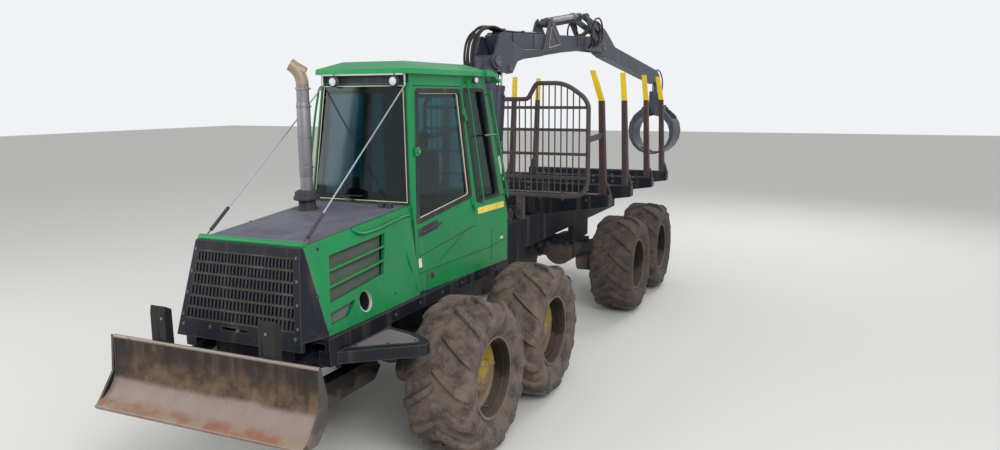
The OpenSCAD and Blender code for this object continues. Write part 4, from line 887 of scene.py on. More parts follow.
class Rims(bpy.types.Operator):
    """Rims with a muddy lip, a lock ring, a dished disc, wheel nuts and a hub cap."""

    bl_idname = "forwarder.rims"
    bl_label = "Rims"

    # Radius and distance outward, from the hub cap over the lip to the back
    PROFILE = (
        (0, 0.165), (0.066, 0.165), (0.074, 0.161), (0.08, 0.15), (0.12, 0.146), (0.131, 0.141), (0.138, 0.128),
        (0.141, 0.1), (0.15, 0.093), (0.24, 0.091), (0.258, 0.095), (0.272, 0.11), (0.286, 0.114), (0.3, 0.106),
        (0.308, 0.1), (0.3175, 0.104), (0.318, 0.17), (0.312, 0.176), (0.312, 0.188), (0.318, 0.194),
        (0.3185, 0.226), (0.324, 0.24), (0.333, 0.2475), (0.346, 0.25), (0.353, 0.248), (0.355, 0.243),
        (0.352, 0.239), (0.33, 0.2378), (0.33, -0.2378), (0.352, -0.239), (0.355, -0.243), (0.35, -0.25),
        (0.333, -0.248), (0.318, -0.23), (0.318, 0.066), (0.27, 0.066), (0.135, 0.07), (0, 0.07))
    LIP, RECESS = 0.336, 0.298
    # Circles of wheel nuts, hub bolts and knobs: radius, number and the first one's share of a step
    NUTS, HUB_BOLTS, KNOBS = (0.185, 12), (0.104, 8, 0.5), (0.287, 5, 0.3)
    # Their heights and sizes; a wheel nut has a stud's end on it
    NUT_Z, NUT, END_Z, END = 0.09, 0.016, 0.116, 0.008
    HUB_BOLT_Z, HUB_BOLT = 0.148, 0.009
    KNOB_LOW, KNOB_TOP, KNOB = 0.105, 0.1155, 0.017
    VALVE = ((0.286, 0.06, 0.1), (0.3, 0.07, 0.16), 0.005, 10)

    def execute(self, context):
        for name, place, _ in wheels():
            bm = bmesh.new()
            lathe(bm, self.PROFILE)
            for x, y in circle((0, 0), *self.NUTS):
                bolt(bm, (x, y, self.NUT_Z), (0, 0, 1), self.NUT)
                rod(bm, (x, y, self.NUT_Z), (x, y, self.END_Z), self.END, 10)
            for x, y in circle((0, 0), *self.HUB_BOLTS):
                bolt(bm, (x, y, self.HUB_BOLT_Z), (0, 0, 1), self.HUB_BOLT)
            for x, y in circle((0, 0), *self.KNOBS):
                rod(bm, (x, y, self.KNOB_LOW), (x, y, self.KNOB_TOP), self.KNOB, 20)
            rod(bm, *self.VALVE)
            bm.transform(place)
            piece = finish("rim_" + name + "_finished", bm, "rim", node="rim_" + name, sharp=30)
            hub = place.translation

            # Faces beyond the lip take muddy paint, and those in the recess a dark paint that is partly dirt and partly
            # painted shade
            def pick(centre, normal):
                radius = (centre - hub).yz.length
                return 1 if radius > self.LIP else 2 if radius > self.RECESS else 0

            paint_faces(piece, ("rim_lip", "rim_dark"), pick)
        return {"FINISHED"}


class Windows(bpy.types.Operator):
    """Glass for the cab."""

    bl_idname = "forwarder.windows"
    bl_label = "Windows"

    def execute(self, context):
        for node in ("cab_windows", "door_window"):
            dress(node, "glass", 0)
        return {"FINISHED"}


class Stakes(bpy.types.Operator):
    """Stakes with painted tips."""

    bl_idname = "forwarder.stakes"
    bl_label = "Stakes"

    TIP_Z, TIP_LENGTH = 2.95, 0.38
    # Left stakes whose tips are bent inward: from and to along the machine, how far
    BENT = ((3.0, 3.5, 0.11), (4.1, 4.6, 0.015), (5.4, 5.9, 0.03), (6.5, 7.0, 0.055))

    def execute(self, context):
        bm = node_mesh("stakes")
        bmesh.ops.bisect_plane(bm, geom=bm.verts[:] + bm.edges[:] + bm.faces[:], plane_co=(0, 0, self.TIP_Z),
                               plane_no=(0, 0, 1))
        for vert in bm.verts:
            y = vert.co.y + MID_Y
            for low, high, lean in self.BENT:
                if vert.co.x > 0 and low < y < high and vert.co.z > self.TIP_Z + 0.001:
                    vert.co.x -= lean * (vert.co.z - self.TIP_Z) / self.TIP_LENGTH
        piece = finish("dressed_stakes", bm, "stake", node="stakes")
        paint_faces(piece, ("tip",), lambda place, normal: int(place.z > self.TIP_Z))
        return {"FINISHED"}


class HoodParts(bpy.types.Operator):
    """The hood's cover and catch, its vents' meshes, handles, latches, hinge posts and seams, and the nose's ridges."""

    bl_idname = "forwarder.hood_parts"
    bl_label = "Hood details"

    COVER = ((-0.462, 0.075), (0.462, 0.075), (0.474, 1.425), (-0.474, 1.425))
    VENT = ((-1.899, 0.221), (-1.165, 0.29), (-1.042, 0.62), (-1.794, 0.575))
    LOW_VENT = ((-1.942, 0.068), (-1.711, 0.085), (-1.595, 0.184), (-1.924, 0.152))
    AIR_HOLE = (-1.476, 0.14)
    SEAMS = (((-0.985, 0.045), (-0.905, 0.64)), ((-2.0, 0.035), (-0.7, 0.035)), ((-0.985, 0.2), (-0.66, 0.215)))
    LATCHES = ((-1.05, 0.1), (-1.05, 0.56), (-1.9, 0.63), (-2.02, 0.3), (-0.8, 0.6))
    HANDLE = ((0.497, -1.463, 1.99), (0.528, -1.4, 1.955), (0.533, -1.236, 1.945), (0.533, -0.9, 1.975),
              (0.53, -0.72, 1.992), (0.522, -0.625, 1.985), (0.5, -0.592, 1.965))
    STAY = ((-0.725, 0.52, 0.015), (-0.765, 0.4, 0.02), (-0.76, 0.3, 0.02), (-0.73, 0.21, 0.012))
    # The nose's half width at its foot, how fast it narrows, and the step from ridge to ridge
    NOSE_HALF, NOSE_TAPER, ROW = 0.57, 0.139, 0.0857

    def net(self, bm, corners, rows, columns):
        """A net of thin bars across a four-cornered opening, just behind the panel."""
        a, b, c, d = (Vector(p) for p in corners)
        for k in range(1, columns):
            share = k / columns
            rod(bm, on_hood(*a.lerp(b, share), -0.03), on_hood(*d.lerp(c, share), -0.024), 0.0034, 4)
        for k in range(1, rows):
            share = k / rows
            rod(bm, on_hood(*a.lerp(d, share), -0.027), on_hood(*b.lerp(c, share), -0.0225), 0.0014, 4)

    def latch(self, bm, y, z):
        """A latch's plate and its button."""
        body = ((y - 0.02, z - 0.014), (y + 0.02, z - 0.014), (y + 0.02, z + 0.014), (y - 0.02, z + 0.014))
        plate(bm, on_hood, rounded(body, 0.006), 0, 0.004)
        plate(bm, on_hood, circle((y, z), 0.009, 16), 0.003, 0.009)

    def nose_half(self, z, margin):
        """Half the nose's width at a height, less a margin."""
        return self.NOSE_HALF - self.NOSE_TAPER * z - margin

    def execute(self, context):
        build("hood_cover", "cover", 0.0015, (plate, on_hood_top, rounded(self.COVER, 0.03), 0, 0.005))
        build("hood_front_roll", "green", 0.004, (beam, on_hood_top, (-0.485, 0.024), (0.485, 0.024), 0.004, 0.03, 20))
        build("vent_meshes", "mesh", 0, (self.net, self.VENT, 26, 58), (self.net, self.LOW_VENT, 8, 24), mirror=True)
        outer, inner, back, duct, bore = (circle(self.AIR_HOLE, r) for r in (0.087, 0.0775, 0.08, 0.081, 0.0765))
        build("air_inlet_rims", "pale", 0.002, (ring, on_hood, outer, inner, -0.02, 0.006), mirror=True)
        # The ducts and back plates behind the air holes are near black: painted shade inside the holes
        build("air_inlet_ducts", "soot", 0, (ring, on_hood, duct, bore, -0.14, -0.016),
              (plate, on_hood, back, -0.146, -0.139), mirror=True)
        build("hood_seams", "seal", 0, *((strip, on_hood, *ends, 0.006, -0.003, 0.0012) for ends in self.SEAMS),
              (strip, on_hood, (-1.36, 0.03), (-1.36, 0.235), 0.005, -0.003, 0.001), mirror=True)
        build("hood_latches", "trim", 0.001, *((self.latch, *spot) for spot in self.LATCHES), mirror=True)
        for side, word in SIDES:
            tube("hood_handle_" + word, [at(side * x, y, z) for x, y, z in self.HANDLE], 0.0125, "green")
            feet = ((rod, at(side * (x - 0.014), y, z - 0.012), at(side * (x + 0.004), y, z + 0.004), 0.018, 24, 0.014)
                    for x, y, z in (self.HANDLE[0], self.HANDLE[-1]))
            build("hood_handle_feet_" + word, "trim", 0.002, *feet)

        # The catch on the hood's top, and the hinge posts and the stay at its rear edge
        lugs = ((block, on_hood_top(x - 0.016, 1.29, 0.004), on_hood_top(x + 0.016, 1.35, 0.046)) for x in (0.32, 0.4))
        build("hood_catch", "trim", 0.003, *lugs, (beam, on_hood_top, (0.275, 1.32), (0.43, 1.32), 0.04, 0.012))
        barrels = ((beam, on_hood, (-0.7, a), (-0.7, b), -0.005, 0.021) for a, b in ((0.6, 0.56), (0.52, 0.5)))
        build("hood_hinge_posts", "green", 0.002, *barrels, (beam, on_hood, (-0.7, 0.61), (-0.7, 0.06), 0.006, 0.0085),
              mirror=True)
        tube("hood_stay", [on_hood(*p) for p in self.STAY], 0.006, "green")

        # The nose's ridges between the rows of slots, and its bolts
        ridges = []
        for z in (0.075 + k * self.ROW for k in range(7)):
            half = self.nose_half(z, 0.05)
            ridges.append((strip, on_nose, (-half, z), (half, z), 0.007, -0.001, 0.004))
        build("nose_ridges", "ridge", 0.0015, *ridges)
        foot = ((stud, on_nose, (x, 0.028), 0, 0.01) for x in (-0.52, -0.26, 0, 0.26, 0.52))
        edges = ((stud, on_nose, (side * self.nose_half(z, 0.024), z), 0, 0.008)
                 for z in (0.1 + 0.165 * k for k in range(4)) for side in (-1, 1))
        build("nose_bolts", "steel", 0, *foot, *edges)
        return {"FINISHED"}


class CabParts(bpy.types.Operator):
    """Window seals, the windscreen's pane and wiper, handles, seams, reflectors, blank plates and guard rods."""

    bl_idname = "forwarder.cab_parts"
    bl_label = "Cab details"

    DOOR_EDGE = ((0.077, 0.315), (1.088, 0.455), (1.02, 1.805), (0.232, 1.805))
    DOOR_GLASS = ((0.112, 0.61), (1.045, 0.745), (0.988, 1.772), (0.266, 1.772))
    REAR_GLASS = ((1.16, 0.68), (1.6, 0.7), (1.44, 1.78), (1.062, 1.78))
    FRONT_GLASS = ((-0.42, 0.83), (0.42, 0.83), (0.375, 1.76), (-0.375, 1.76))
    FRONT_PANEL = ((-0.52, 0.775), (0.505, 0.775), (0.425, 1.828), (-0.438, 1.828))
    BACK_GLASS = ((-0.56, 0.15), (0.56, 0.15), (0.47, 1.29), (-0.47, 1.29))
    SEAMS = (((0.02, 0.165), (1.33, 0.19)), ((1.4, 0.385), (1.345, 0.06)), ((0.192, 0.16), (0.163, 0.01)),
             ((0.408, 0.225), (0.895, 0.42)), ((1.33, 0.19), (1.69, 0.23)))
    HANDLE_DISH = ((0.105, 0.48), (0.415, 0.522), (0.415, 0.6), (0.105, 0.558))
    REFLECTORS = (((0.07, 0.215), (0.115, 0.218), (0.115, 0.298), (0.07, 0.295)),
                  ((1.56, 0.236), (1.62, 0.236), (1.62, 0.263), (1.56, 0.263)))
    BLANK_PLATE = ((1.15, 0.552), (1.69, 0.56), (1.694, 0.622), (1.152, 0.614))
    CLAMP = ((0.15, 1.19), (0.215, 1.198), (0.215, 1.275), (0.15, 1.268))
    PLUG = (0.262, 0.112)
    WINDOW_ROD = ((1.1, 1.855), (1.232, 0.66))
    WIPER_FOOT = (0.06, 0.77)
    FRONT_ROD = ((-0.43, 1.815, 0), (-0.442, 1.79, 0.045), (-0.455, 1.7, 0.06), (-0.532, 0.96, 0.06),
                 (-0.548, 0.85, 0.05), (-0.545, 0.8, 0))

    def seal(self, bm, place, corners, band=0.026):
        """The dark rubber round a pane."""
        ring(bm, place, rounded(inset(corners, -0.014), 0.035), rounded(inset(corners, band), 0.03), -0.026, 0.006)

    def cream(self, bm, place, corners, band=0.026):
        """The pale line inside the dark rubber."""
        ring(bm, place, rounded(inset(corners, band - 0.004), 0.03), rounded(inset(corners, band + 0.007), 0.028),
             -0.0235, -0.012)

    def execute(self, context):
        panes = {
            self.seal: ((self.seal, on_cab, self.REAR_GLASS, 0.02), (self.seal, on_cab_right, self.REAR_GLASS, 0.02),
                        (self.seal, on_cab_front, self.FRONT_GLASS, 0.014)),
            self.cream: ((ring, on_cab_front, inset(self.FRONT_PANEL, 0.016), inset(self.FRONT_PANEL, 0.023), 0.0085,
                          0.0105),),
        }
        for job, others in panes.items():
            name = job.__name__
            build("door_" + name, name, 0.0015, (job, on_cab, self.DOOR_GLASS), body="door")
            build("window_" + name + "s", name, 0.002, (job, on_cab_right, self.DOOR_GLASS), *others,
                  (job, on_cab_rear, self.BACK_GLASS, 0.04))
        build("door_gasket", "seal", 0,
              (ring, on_cab, inset(self.DOOR_EDGE, -0.022), inset(self.DOOR_EDGE, 0.016), -0.06, -0.0515),
              (ring, on_cab_front, self.FRONT_PANEL, inset(self.FRONT_GLASS, -0.01), -0.004, 0.003),
              (ring, on_cab_front, self.FRONT_PANEL, inset(self.FRONT_PANEL, 0.016), 0.0031, 0.0105))
        build("windscreen_pane", "glass", 0, (plate, on_cab_front, inset(self.FRONT_PANEL, 0.0162), 0.004, 0.0084))

        seams = ((strip, side, *ends, 0.006, -0.003, 0.0012) for side in (on_cab, on_cab_right) for ends in self.SEAMS)
        build("cab_seams", "seal", 0, *seams,
              (ring, on_cab_right, inset(self.DOOR_EDGE, -0.003), inset(self.DOOR_EDGE, 0.003), -0.003, 0.0012),
              (strip, on_cab, (0.052, 0.64), (0.018, 0.015), 0.012, -0.003, 0.0015),
              (strip, on_cab, (0.16, 0.004), (0.02, 0.002), 0.006, -0.003, 0.0012))
        build("door_handle", "trim", 0.002, (plate, on_cab, rounded(self.HANDLE_DISH, 0.02), 0, 0.005),
              *((peg, on_cab, spot, 0, 0.034, 0.008) for spot in ((0.135, 0.523), (0.41, 0.566))),
              (beam, on_cab, (0.128, 0.5225), (0.418, 0.567), 0.034, 0.0095),
              (plate, on_cab, circle((0.47, 0.56), 0.013, 24), 0, 0.01), body="door")
        tall, wide = self.REFLECTORS
        build("reflectors", "white", 0.001, (plate, on_cab, rounded(tall, 0.006), 0, 0.004),
              (plate, on_cab, rounded(wide, 0.005), 0, 0.004), mirror=True)
        build("cab_plugs", "seal", 0.001,
              (ring, on_cab, circle(self.PLUG, 0.022, 24), circle(self.PLUG, 0.013, 24), -0.002, 0.004),
              (plate, on_cab, circle(self.PLUG, 0.014, 24), -0.001, 0.0008), mirror=True)
        build("plug_rims", "ridge", 0.001,
              (ring, on_cab, circle(self.PLUG, 0.034, 32), circle(self.PLUG, 0.0215, 32), 0, 0.003), mirror=True)
        # The upright guard rod in front of each rear side window
        build("window_rods", "green", 0.002, (beam, on_cab, *self.WINDOW_ROD, 0.034, 0.008, 16),
              *((peg, on_cab, end, 0, 0.04, 0.008, 16) for end in self.WINDOW_ROD), mirror=True)
        build("blank_plates", "plate", 0.0008, (plate, on_cab, rounded(self.BLANK_PLATE, 0.01), 0, 0.003), mirror=True)
        # The wiper, parked along the windscreen's foot
        build("windscreen_wiper", "trim", 0.002, (peg, on_cab_front, self.WIPER_FOOT, 0, 0.03, 0.014),
              (strip, on_cab_front, self.WIPER_FOOT, (-0.28, 0.836), 0.01, 0.02, 0.027),
              (strip, on_cab_front, (-0.36, 0.822), (0.02, 0.832), 0.008, 0.0086, 0.021))
        # The clamp on the door's pillar
        build("pillar_clamp", "green", 0.003, (plate, on_cab, rounded(self.CLAMP, 0.01), 0, 0.022), body="door")
        build("pillar_clamp_bolt", "edge", 0.002, (peg, on_cab, (0.196, 1.232), 0.02, 0.034, 0.017), body="door")
        # A guard rod beside the windscreen on the right, and the rods that hold the wires' heads
        tube("front_guard_rod", [on_cab_front(*p) for p in self.FRONT_ROD], 0.011, "green")
        build("wire_hangers", "wire", 0,
              *((rod, at(x, -0.497, 3.1), at(x, -0.497, 3.212), 0.009) for x in (-0.43, 0.43)))
        return {"FINISHED"}


class CabRoof(bpy.types.Operator):
    """The roof on its neck: a thin edge, a crown and a drooping visor, with the lamps under it."""

    bl_idname = "forwarder.cab_roof"
    bl_label = "Roof and lamps"

    # The solid roof's underside, edge and crown, and the heights that they are raised to
    SOLID = (3.13, 3.22, 3.265)
    RAISED = (3.205, 3.252, 3.322)
    NECK_Y = (-0.48, 0.846)
    NECK_HALF = 0.4448
    # Each lamp's place and the way it faces
    LAMPS = (((0.34, -0.545, 3.14), (0, -1, 0)), ((-0.29, -0.545, 3.14), (0, -1, 0)),
             ((0.42, 0.93, 3.14), (0, 1, 0)), ((-0.42, 0.93, 3.14), (0, 1, 0)),
             ((0.622, 0.545, 3.165), (1, -0.5, 0)), ((0.655, 0.76, 3.165), (1, 0.6, 0)),
             ((-0.622, 0.545, 3.165), (-1, -0.5, 0)), ((-0.655, 0.76, 3.165), (-1, 0.6, 0)))
    SIDE_LAMP_SCALE = 0.72
    LENS = ((0, 0.008), (0.016, 0.0075), (0.03, 0.005), (0.038, 0.001), (0.038, -0.004), (0, -0.004))
    HOUSING = ((0.037, -0.002), (0.037, 0.006), (0.041, 0.009), (0.045, 0.006), (0.046, -0.016), (0.041, -0.02),
               (0.041, -0.026), (0.046, -0.028), (0.043, -0.044), (0.02, -0.055), (0, -0.055), (0, -0.004),
               (0.037, -0.002))

    def raised(self, z):
        """Where a height of the solid's roof comes to lie."""
        low, edge, high = self.SOLID
        if z < low + 0.0015:
            return z + self.RAISED[0] - low
        if z < edge + 0.005:
            return self.RAISED[0] + (z - low) / (edge - low) * (self.RAISED[1] - self.RAISED[0])
        return self.RAISED[1] + (z - edge) / (high - edge) * (self.RAISED[2] - self.RAISED[1])

    def execute(self, context):
        bm = node_mesh("cab_roof")
        for vert in bm.verts:
            vert.co.z = self.raised(vert.co.z)
        finish("finished_roof", bm, "roof", rounding=0.009, node="cab_roof")

        front, rear = self.NECK_Y
        outline = [at(side * (self.NECK_HALF + CAB_FLARE * (y - CAB_FRONT_Y)), y, 3.126)
                   for side, y in ((-1, front), (1, front), (1, rear), (-1, rear))]
        neck = build("roof_neck", "green", 0.002, (prism, outline, Vector((0, 0, 0.084))))
        paint_faces(neck, ("seal",), lambda place, normal: int(normal.y < -0.5))
        build("roof_strip", "pale", 0.003, (block, at(-0.42, -0.52, 3.192), at(0.42, -0.5, 3.206)))

        lenses, housings = [], []
        for spot, way in self.LAMPS:
            place = along(at(*spot), way) @ Matrix.Scale(1.0 if way[0] == 0 else self.SIDE_LAMP_SCALE, 4)
            back = Vector(way) * -0.03
            lenses.append((lathe, self.LENS, place, 40))
            housings.append((lathe, self.HOUSING, place, 40))
            housings.append((rod, at(*spot) + back, at(spot[0], spot[1], 3.21) + back, 0.008))
        build("lamp_lenses", "lens", 0, *lenses)
        build("lamp_housings", "trim", 0, *housings, node="work_lamps")
        return {"FINISHED"}


class CabInterior(bpy.types.Operator):
    """The driver's seat with its cushions, the armrests' levers, the console and the floor mat."""

    bl_idname = "forwarder.cab_interior"
    bl_label = "Cab interior"

    # How far a cushion's sides pull in and its rim thins, as shares of its size
    PULL, THIN = 0.045, 0.1
    # A sewn channel's depth, and its width and places as shares of half the cushion
    CHANNEL, CHANNEL_WIDE, CHANNELS = 0.01, 0.045, (0.45, 0)

    def cushion(self, name, low, high, crown, axis, node=None):
        """A crowned cushion: sides that pull in between its corners, sewn channels across it."""
        low, high = Vector(low), Vector(high)
        half = (high - low) / 2
        bm = bmesh.new()
        bmesh.ops.create_cube(bm, size=2)
        bmesh.ops.subdivide_edges(bm, edges=bm.edges[:], cuts=15, use_grid_fill=True)
        flat = [k for k in range(3) if k != axis]
        for vert in bm.verts:
            p = vert.co.copy()
            u, v = (abs(p[k]) for k in flat)
            dome = (1 - u ** 3.0) * (1 - v ** 3.0)
            pull = 1 - self.PULL * (1 - abs(p[axis])) * (2 - u - v) / 2
            channel = sum(self.CHANNEL * math.exp(-((v - spot) / self.CHANNEL_WIDE) ** 2) for spot in self.CHANNELS)
            grown = p[axis] * (1 - max(u, v) ** 10 * self.THIN)
            if p[axis] > 0.5:
                grown += dome * crown / half[axis] - channel / half[axis] * dome ** 0.5
            q = p * pull
            q[axis] = grown
            vert.co = q * half
        bmesh.ops.smooth_vert(bm, verts=bm.verts, factor=0.5, use_axis_x=True, use_axis_y=True, use_axis_z=True)
        bm.transform(Matrix.Translation(at(*(low + high) / 2)))
        piece = finish(name, bm, "cloth", node=node, slot="seat_fabric", sharp=80)
        return piece

    def execute(self, context):
        self.cushion("seat_cushion", (-0.255, -0.15, 1.775), (0.255, 0.345, 1.875), 0.018, 2, "seat")
        back = self.cushion("seat_back", (-0.24, -0.055, -0.3), (0.24, 0.045, 0.3), 0.018, 1)
        back.data.transform(Matrix.Translation(at(0, 0.405, 2.18)) @ Matrix.Rotation(math.pi, 4, "Z")
                            @ Matrix.Translation(-at(0, 0, 0)))
        self.cushion("seat_headrest", (-0.13, 0.375, 2.5), (0.13, 0.445, 2.66), 0.01, 1)
        arms = []
        for side in (-1, 1):
            x = side * 0.3
            arms += [(rod, at(side * 0.06, 0.41, 2.47), at(side * 0.06, 0.41, 2.52), 0.008),
                     (block, at(x - 0.045, -0.22, 1.98), at(x + 0.045, 0.24, 2.035)),
                     (block, at(side * 0.28 - 0.02, 0.14, 1.7), at(side * 0.28 + 0.02, 0.22, 1.985)),
                     (rod, at(x, -0.17, 2.03), at(x, -0.185, 2.16), 0.011, 24, 0.009),
                     (rod, at(x, -0.183, 2.14), at(x, -0.192, 2.235), 0.02, 24, 0.026)]
        build("seat_frame", "trim", 0.012, (block, at(-0.2, -0.05, 1.345), at(0.2, 0.33, 1.66)),
              (block, at(-0.24, -0.13, 1.66), at(0.24, 0.34, 1.77)), *arms)
        build("cab_console", "trim", 0.015, (block, at(-0.34, -0.585, 1.345), at(0.34, -0.46, 2.02)),
              (block, at(-0.26, -0.5, 2.1), at(-0.22, -0.26, 2.26)),
              (rod, at(-0.24, -0.47, 1.99), at(-0.24, -0.4, 2.14), 0.012),
              (block, at(-0.4, 0.5, 1.345), at(0.4, 0.86, 1.72)),
              (block, at(0.36, 0.02, 1.345), at(0.47, 0.8, 1.66)),
              (block, at(-0.47, 0.02, 1.345), at(-0.36, 0.8, 1.66)))
        build("cab_floor_mat", "rubber", 0.003, (block, at(-0.5, -0.56, 1.3405), at(0.5, 0.94, 1.352)))
        return {"FINISHED"}


class StepParts(bpy.types.Operator):
    """Tread plates, rims and bolts on the steps in front of the first wheels, and the deck's bolts."""

    bl_idname = "forwarder.step_parts"
    bl_label = "Steps"

    OUTLINE = ((0.7, -1.86), (1.075, -1.59), (1.12, -1.54), (1.116, -1.495), (1.065, -1.435), (0.945, -1.37),
               (0.7, -1.3))

    def execute(self, context):
        build("step_treads", "tread", 0.001, (plate, on_step, inset(self.OUTLINE, 0.014), 0, 0.004), mirror=True)
        bolts = ((stud, on_step, spot, 0.004, 0.009)
                 for spot in ((0.73, -1.78), (0.73, -1.345), (1.07, -1.5), (0.92, -1.65)))
        build("step_rims", "frame", 0.0015, (ring, on_step, self.OUTLINE, inset(self.OUTLINE, 0.012), 0, 0.01), *bolts,
              mirror=True)
        build("deck_bolts", "steel", 0, *((bolt, at(0.685, -1.15 + 0.4 * k, 1.25), (1, 0, 0), 0.01) for k in range(6)),
              mirror=True)
        return {"FINISHED"}


class Stack(bpy.types.Operator):
    """The exhaust stack: ribbed foot, rain hat, clamps, shield and an open, sooty mouth."""

    bl_idname = "forwarder.stack"
    bl_label = "Exhaust stack"

    X, Y = -0.3, -0.96
    PIPE, BEND, BEND_Z = 0.053, 0.19, 3.115
    BEND_TURN, BEND_STEP, MOUTH_TURN = 60, 5, 58
    # The foot's height, and the height above which the pipe is discoloured by heat
    FOOT_TOP, HEATED_Z = 0.185, 3.06
    SHIELD = ((0.0575, 0.3), (0.0575, 0.92), (0.0555, 0.925), (0.0555, 0.295), (0.0575, 0.3))
    LINER = ((0, -0.138), (0.0462, -0.138), (0.0462, -0.003), (0.0452, -0.003), (0.0452, -0.134), (0, -0.134))

    def execute(self, context):
        x, y = self.X, self.Y
        base = on_hood_top(0, y + 2.05, 0).z + 0.0003
        upright = Matrix.Translation(at(x, y, base))
        bm = bmesh.new()
        ribs = [(r, z + 0.011 * k) for k in range(7) for r, z in ((0.0745, 0.016), (0.0705, 0.0215))]
        foot = [(0, 0), (0.09, 0), (0.09, 0.01), (0.086, 0.012), (0.074, 0.012), *ribs, (0.074, 0.092),
                (0.11, 0.099), (0.1125, 0.104), (0.1125, 0.118), (0.109, 0.124), (0.099, 0.137), (0.0985, 0.158),
                (0.094, 0.165), (0.07, 0.178), (0, 0.178)]
        lathe(bm, foot, upright @ Matrix.Rotation(HOOD_FALL, 4, "X"), 72)
        lathe(bm, self.SHIELD, upright, 48)
        for z in (0.36, 0.62, 0.88, 1.03):
            band = ((0.0532, z), (0.061, z + 0.002), (0.061, z + 0.02), (0.0532, z + 0.022), (0.0532, z))
            lathe(bm, band, upright, 48)
            rod(bm, at(x + 0.058, y - 0.03, base + z + 0.011), at(x + 0.058, y + 0.03, base + z + 0.011), 0.006)
        # The pipe: straight, then a bend with a hollow mouth
        turns = [math.radians(a) for a in range(self.BEND_STEP, self.BEND_TURN + 1, self.BEND_STEP)]
        line = [(0, base + 0.13, 0), (0, self.BEND_Z, 0)]
        line += [(self.BEND * (math.cos(t) - 1), self.BEND_Z + self.BEND * math.sin(t), t) for t in turns]
        aim = Matrix.Rotation(math.radians(-self.MOUTH_TURN), 3, "Z")
        rings = []
        for ahead, z, turn in line:
            side = Vector((0, math.cos(turn), math.sin(turn)))
            rings.append([bm.verts.new(aim @ (Vector((a, ahead, z)) + side * b) + at(x, y, 0))
                          for a, b in circle((0, 0), self.PIPE)])
        tip_way = aim @ Vector((0, -math.sin(turns[-1]), math.cos(turns[-1])))
        centre = aim @ Vector((0, *line[-1][:2])) + at(x, y, 0)
        mouth = rings[-1]
        for scale, depth in ((0.92, 0), (0.89, -0.14), (0.02, -0.142)):
            rings.append([bm.verts.new(centre + (v.co - centre) * scale + tip_way * depth) for v in mouth])
        skin(bm, rings, caps=True)
        piece = finish("exhaust_stack", bm, "stack", node="exhaust", sharp=40)

        def pick(place, normal):
            return 1 if place.z < base + self.FOOT_TOP else 2 if place.z > self.HEATED_Z else 0

        paint_faces(piece, ("trim", "stack_top"), pick)
        build("exhaust_mouth", "soot", 0, (lathe, self.LINER, along(centre, tip_way), 40))
        return {"FINISHED"}


class BladeParts(bpy.types.Operator):
    """The blade's plate apart from its dark arms and uprights, with its pins, top bar, bolts and splits."""

    bl_idname = "forwarder.blade_parts"
    bl_label = "Blade"

    # The plate's upright part, and the curl below it
    PLATE_Y, CURL_Z, CURL = -2.5, 1.045, 0.25
    END_X = 0.9295
    ARM_X, PIN_Y, PIN_Z = 0.47, -2.44, 1.17

    def face_y(self, z):
        """Where the plate's front face lies at a height."""
        if z > self.CURL_Z:
            return self.PLATE_Y
        return self.PLATE_Y - self.CURL + math.sqrt(max(self.CURL ** 2 - (self.CURL_Z - z) ** 2, 0))

    def pick(self, place, normal):
        """0 on the plate, its lip and its top edge, 1 on the end plates, 2 on the arms and uprights."""
        y, z = place.y + MID_Y, place.z
        if abs(place.x) > self.END_X:
            return 1
        on_plate = z > 0.8 and abs(y - self.face_y(z)) < 0.012 and normal.y < 0.3
        lip = y < -2.66 and z < 0.82
        top = z > 1.255 and y < -2.47 and not (0.42 < abs(place.x) < 0.56)
        return 0 if on_plate or lip or top else 2

    def execute(self, context):
        paint_faces(dress("blade", "blade", 0.004), ("end_plate", "brown"), self.pick)
        build("blade_top_bar", "edge", 0.003, (rod, at(-0.93, -2.4885, 1.259), at(0.93, -2.4885, 1.259), 0.0145, 16),
              body="blade")
        pins = []
        for side in (-1, 1):
            for x, way in ((0.42, -1), (0.56, 1)):
                start = at(side * x, self.PIN_Y, self.PIN_Z)
                for out, radius in ((0.03, 0.026), (0.012, 0.038)):
                    pins.append((rod, start, at(side * (x + way * out), self.PIN_Y, self.PIN_Z), radius))
            ends = (at(side * (self.ARM_X + out), -2.33, 1.06) for out in (-0.072, 0.072))
            pins.append((rod, *ends, 0.04))
        build("blade_pins", "chrome", 0.003, *pins, body="blade")
        # One bolt through each upright, and the split between its two plates, drawn as a near-black rod of painted
        # shade
        build("blade_bolts", "edge", 0, *((bolt, at(side * self.ARM_X + 0.02, -2.47175, 1.44), (0, -1, 0.03), 0.012)
                                            for side in (-1, 1)), body="blade")
        splits = (side * self.ARM_X - 0.022 for side in (-1, 1))
        build("blade_splits", "soot", 0, *((rod, at(x, -2.4735, 1.262), at(x, -2.4675, 1.5), 0.007, 8) for x in splits),
              body="blade")
        return {"FINISHED"}


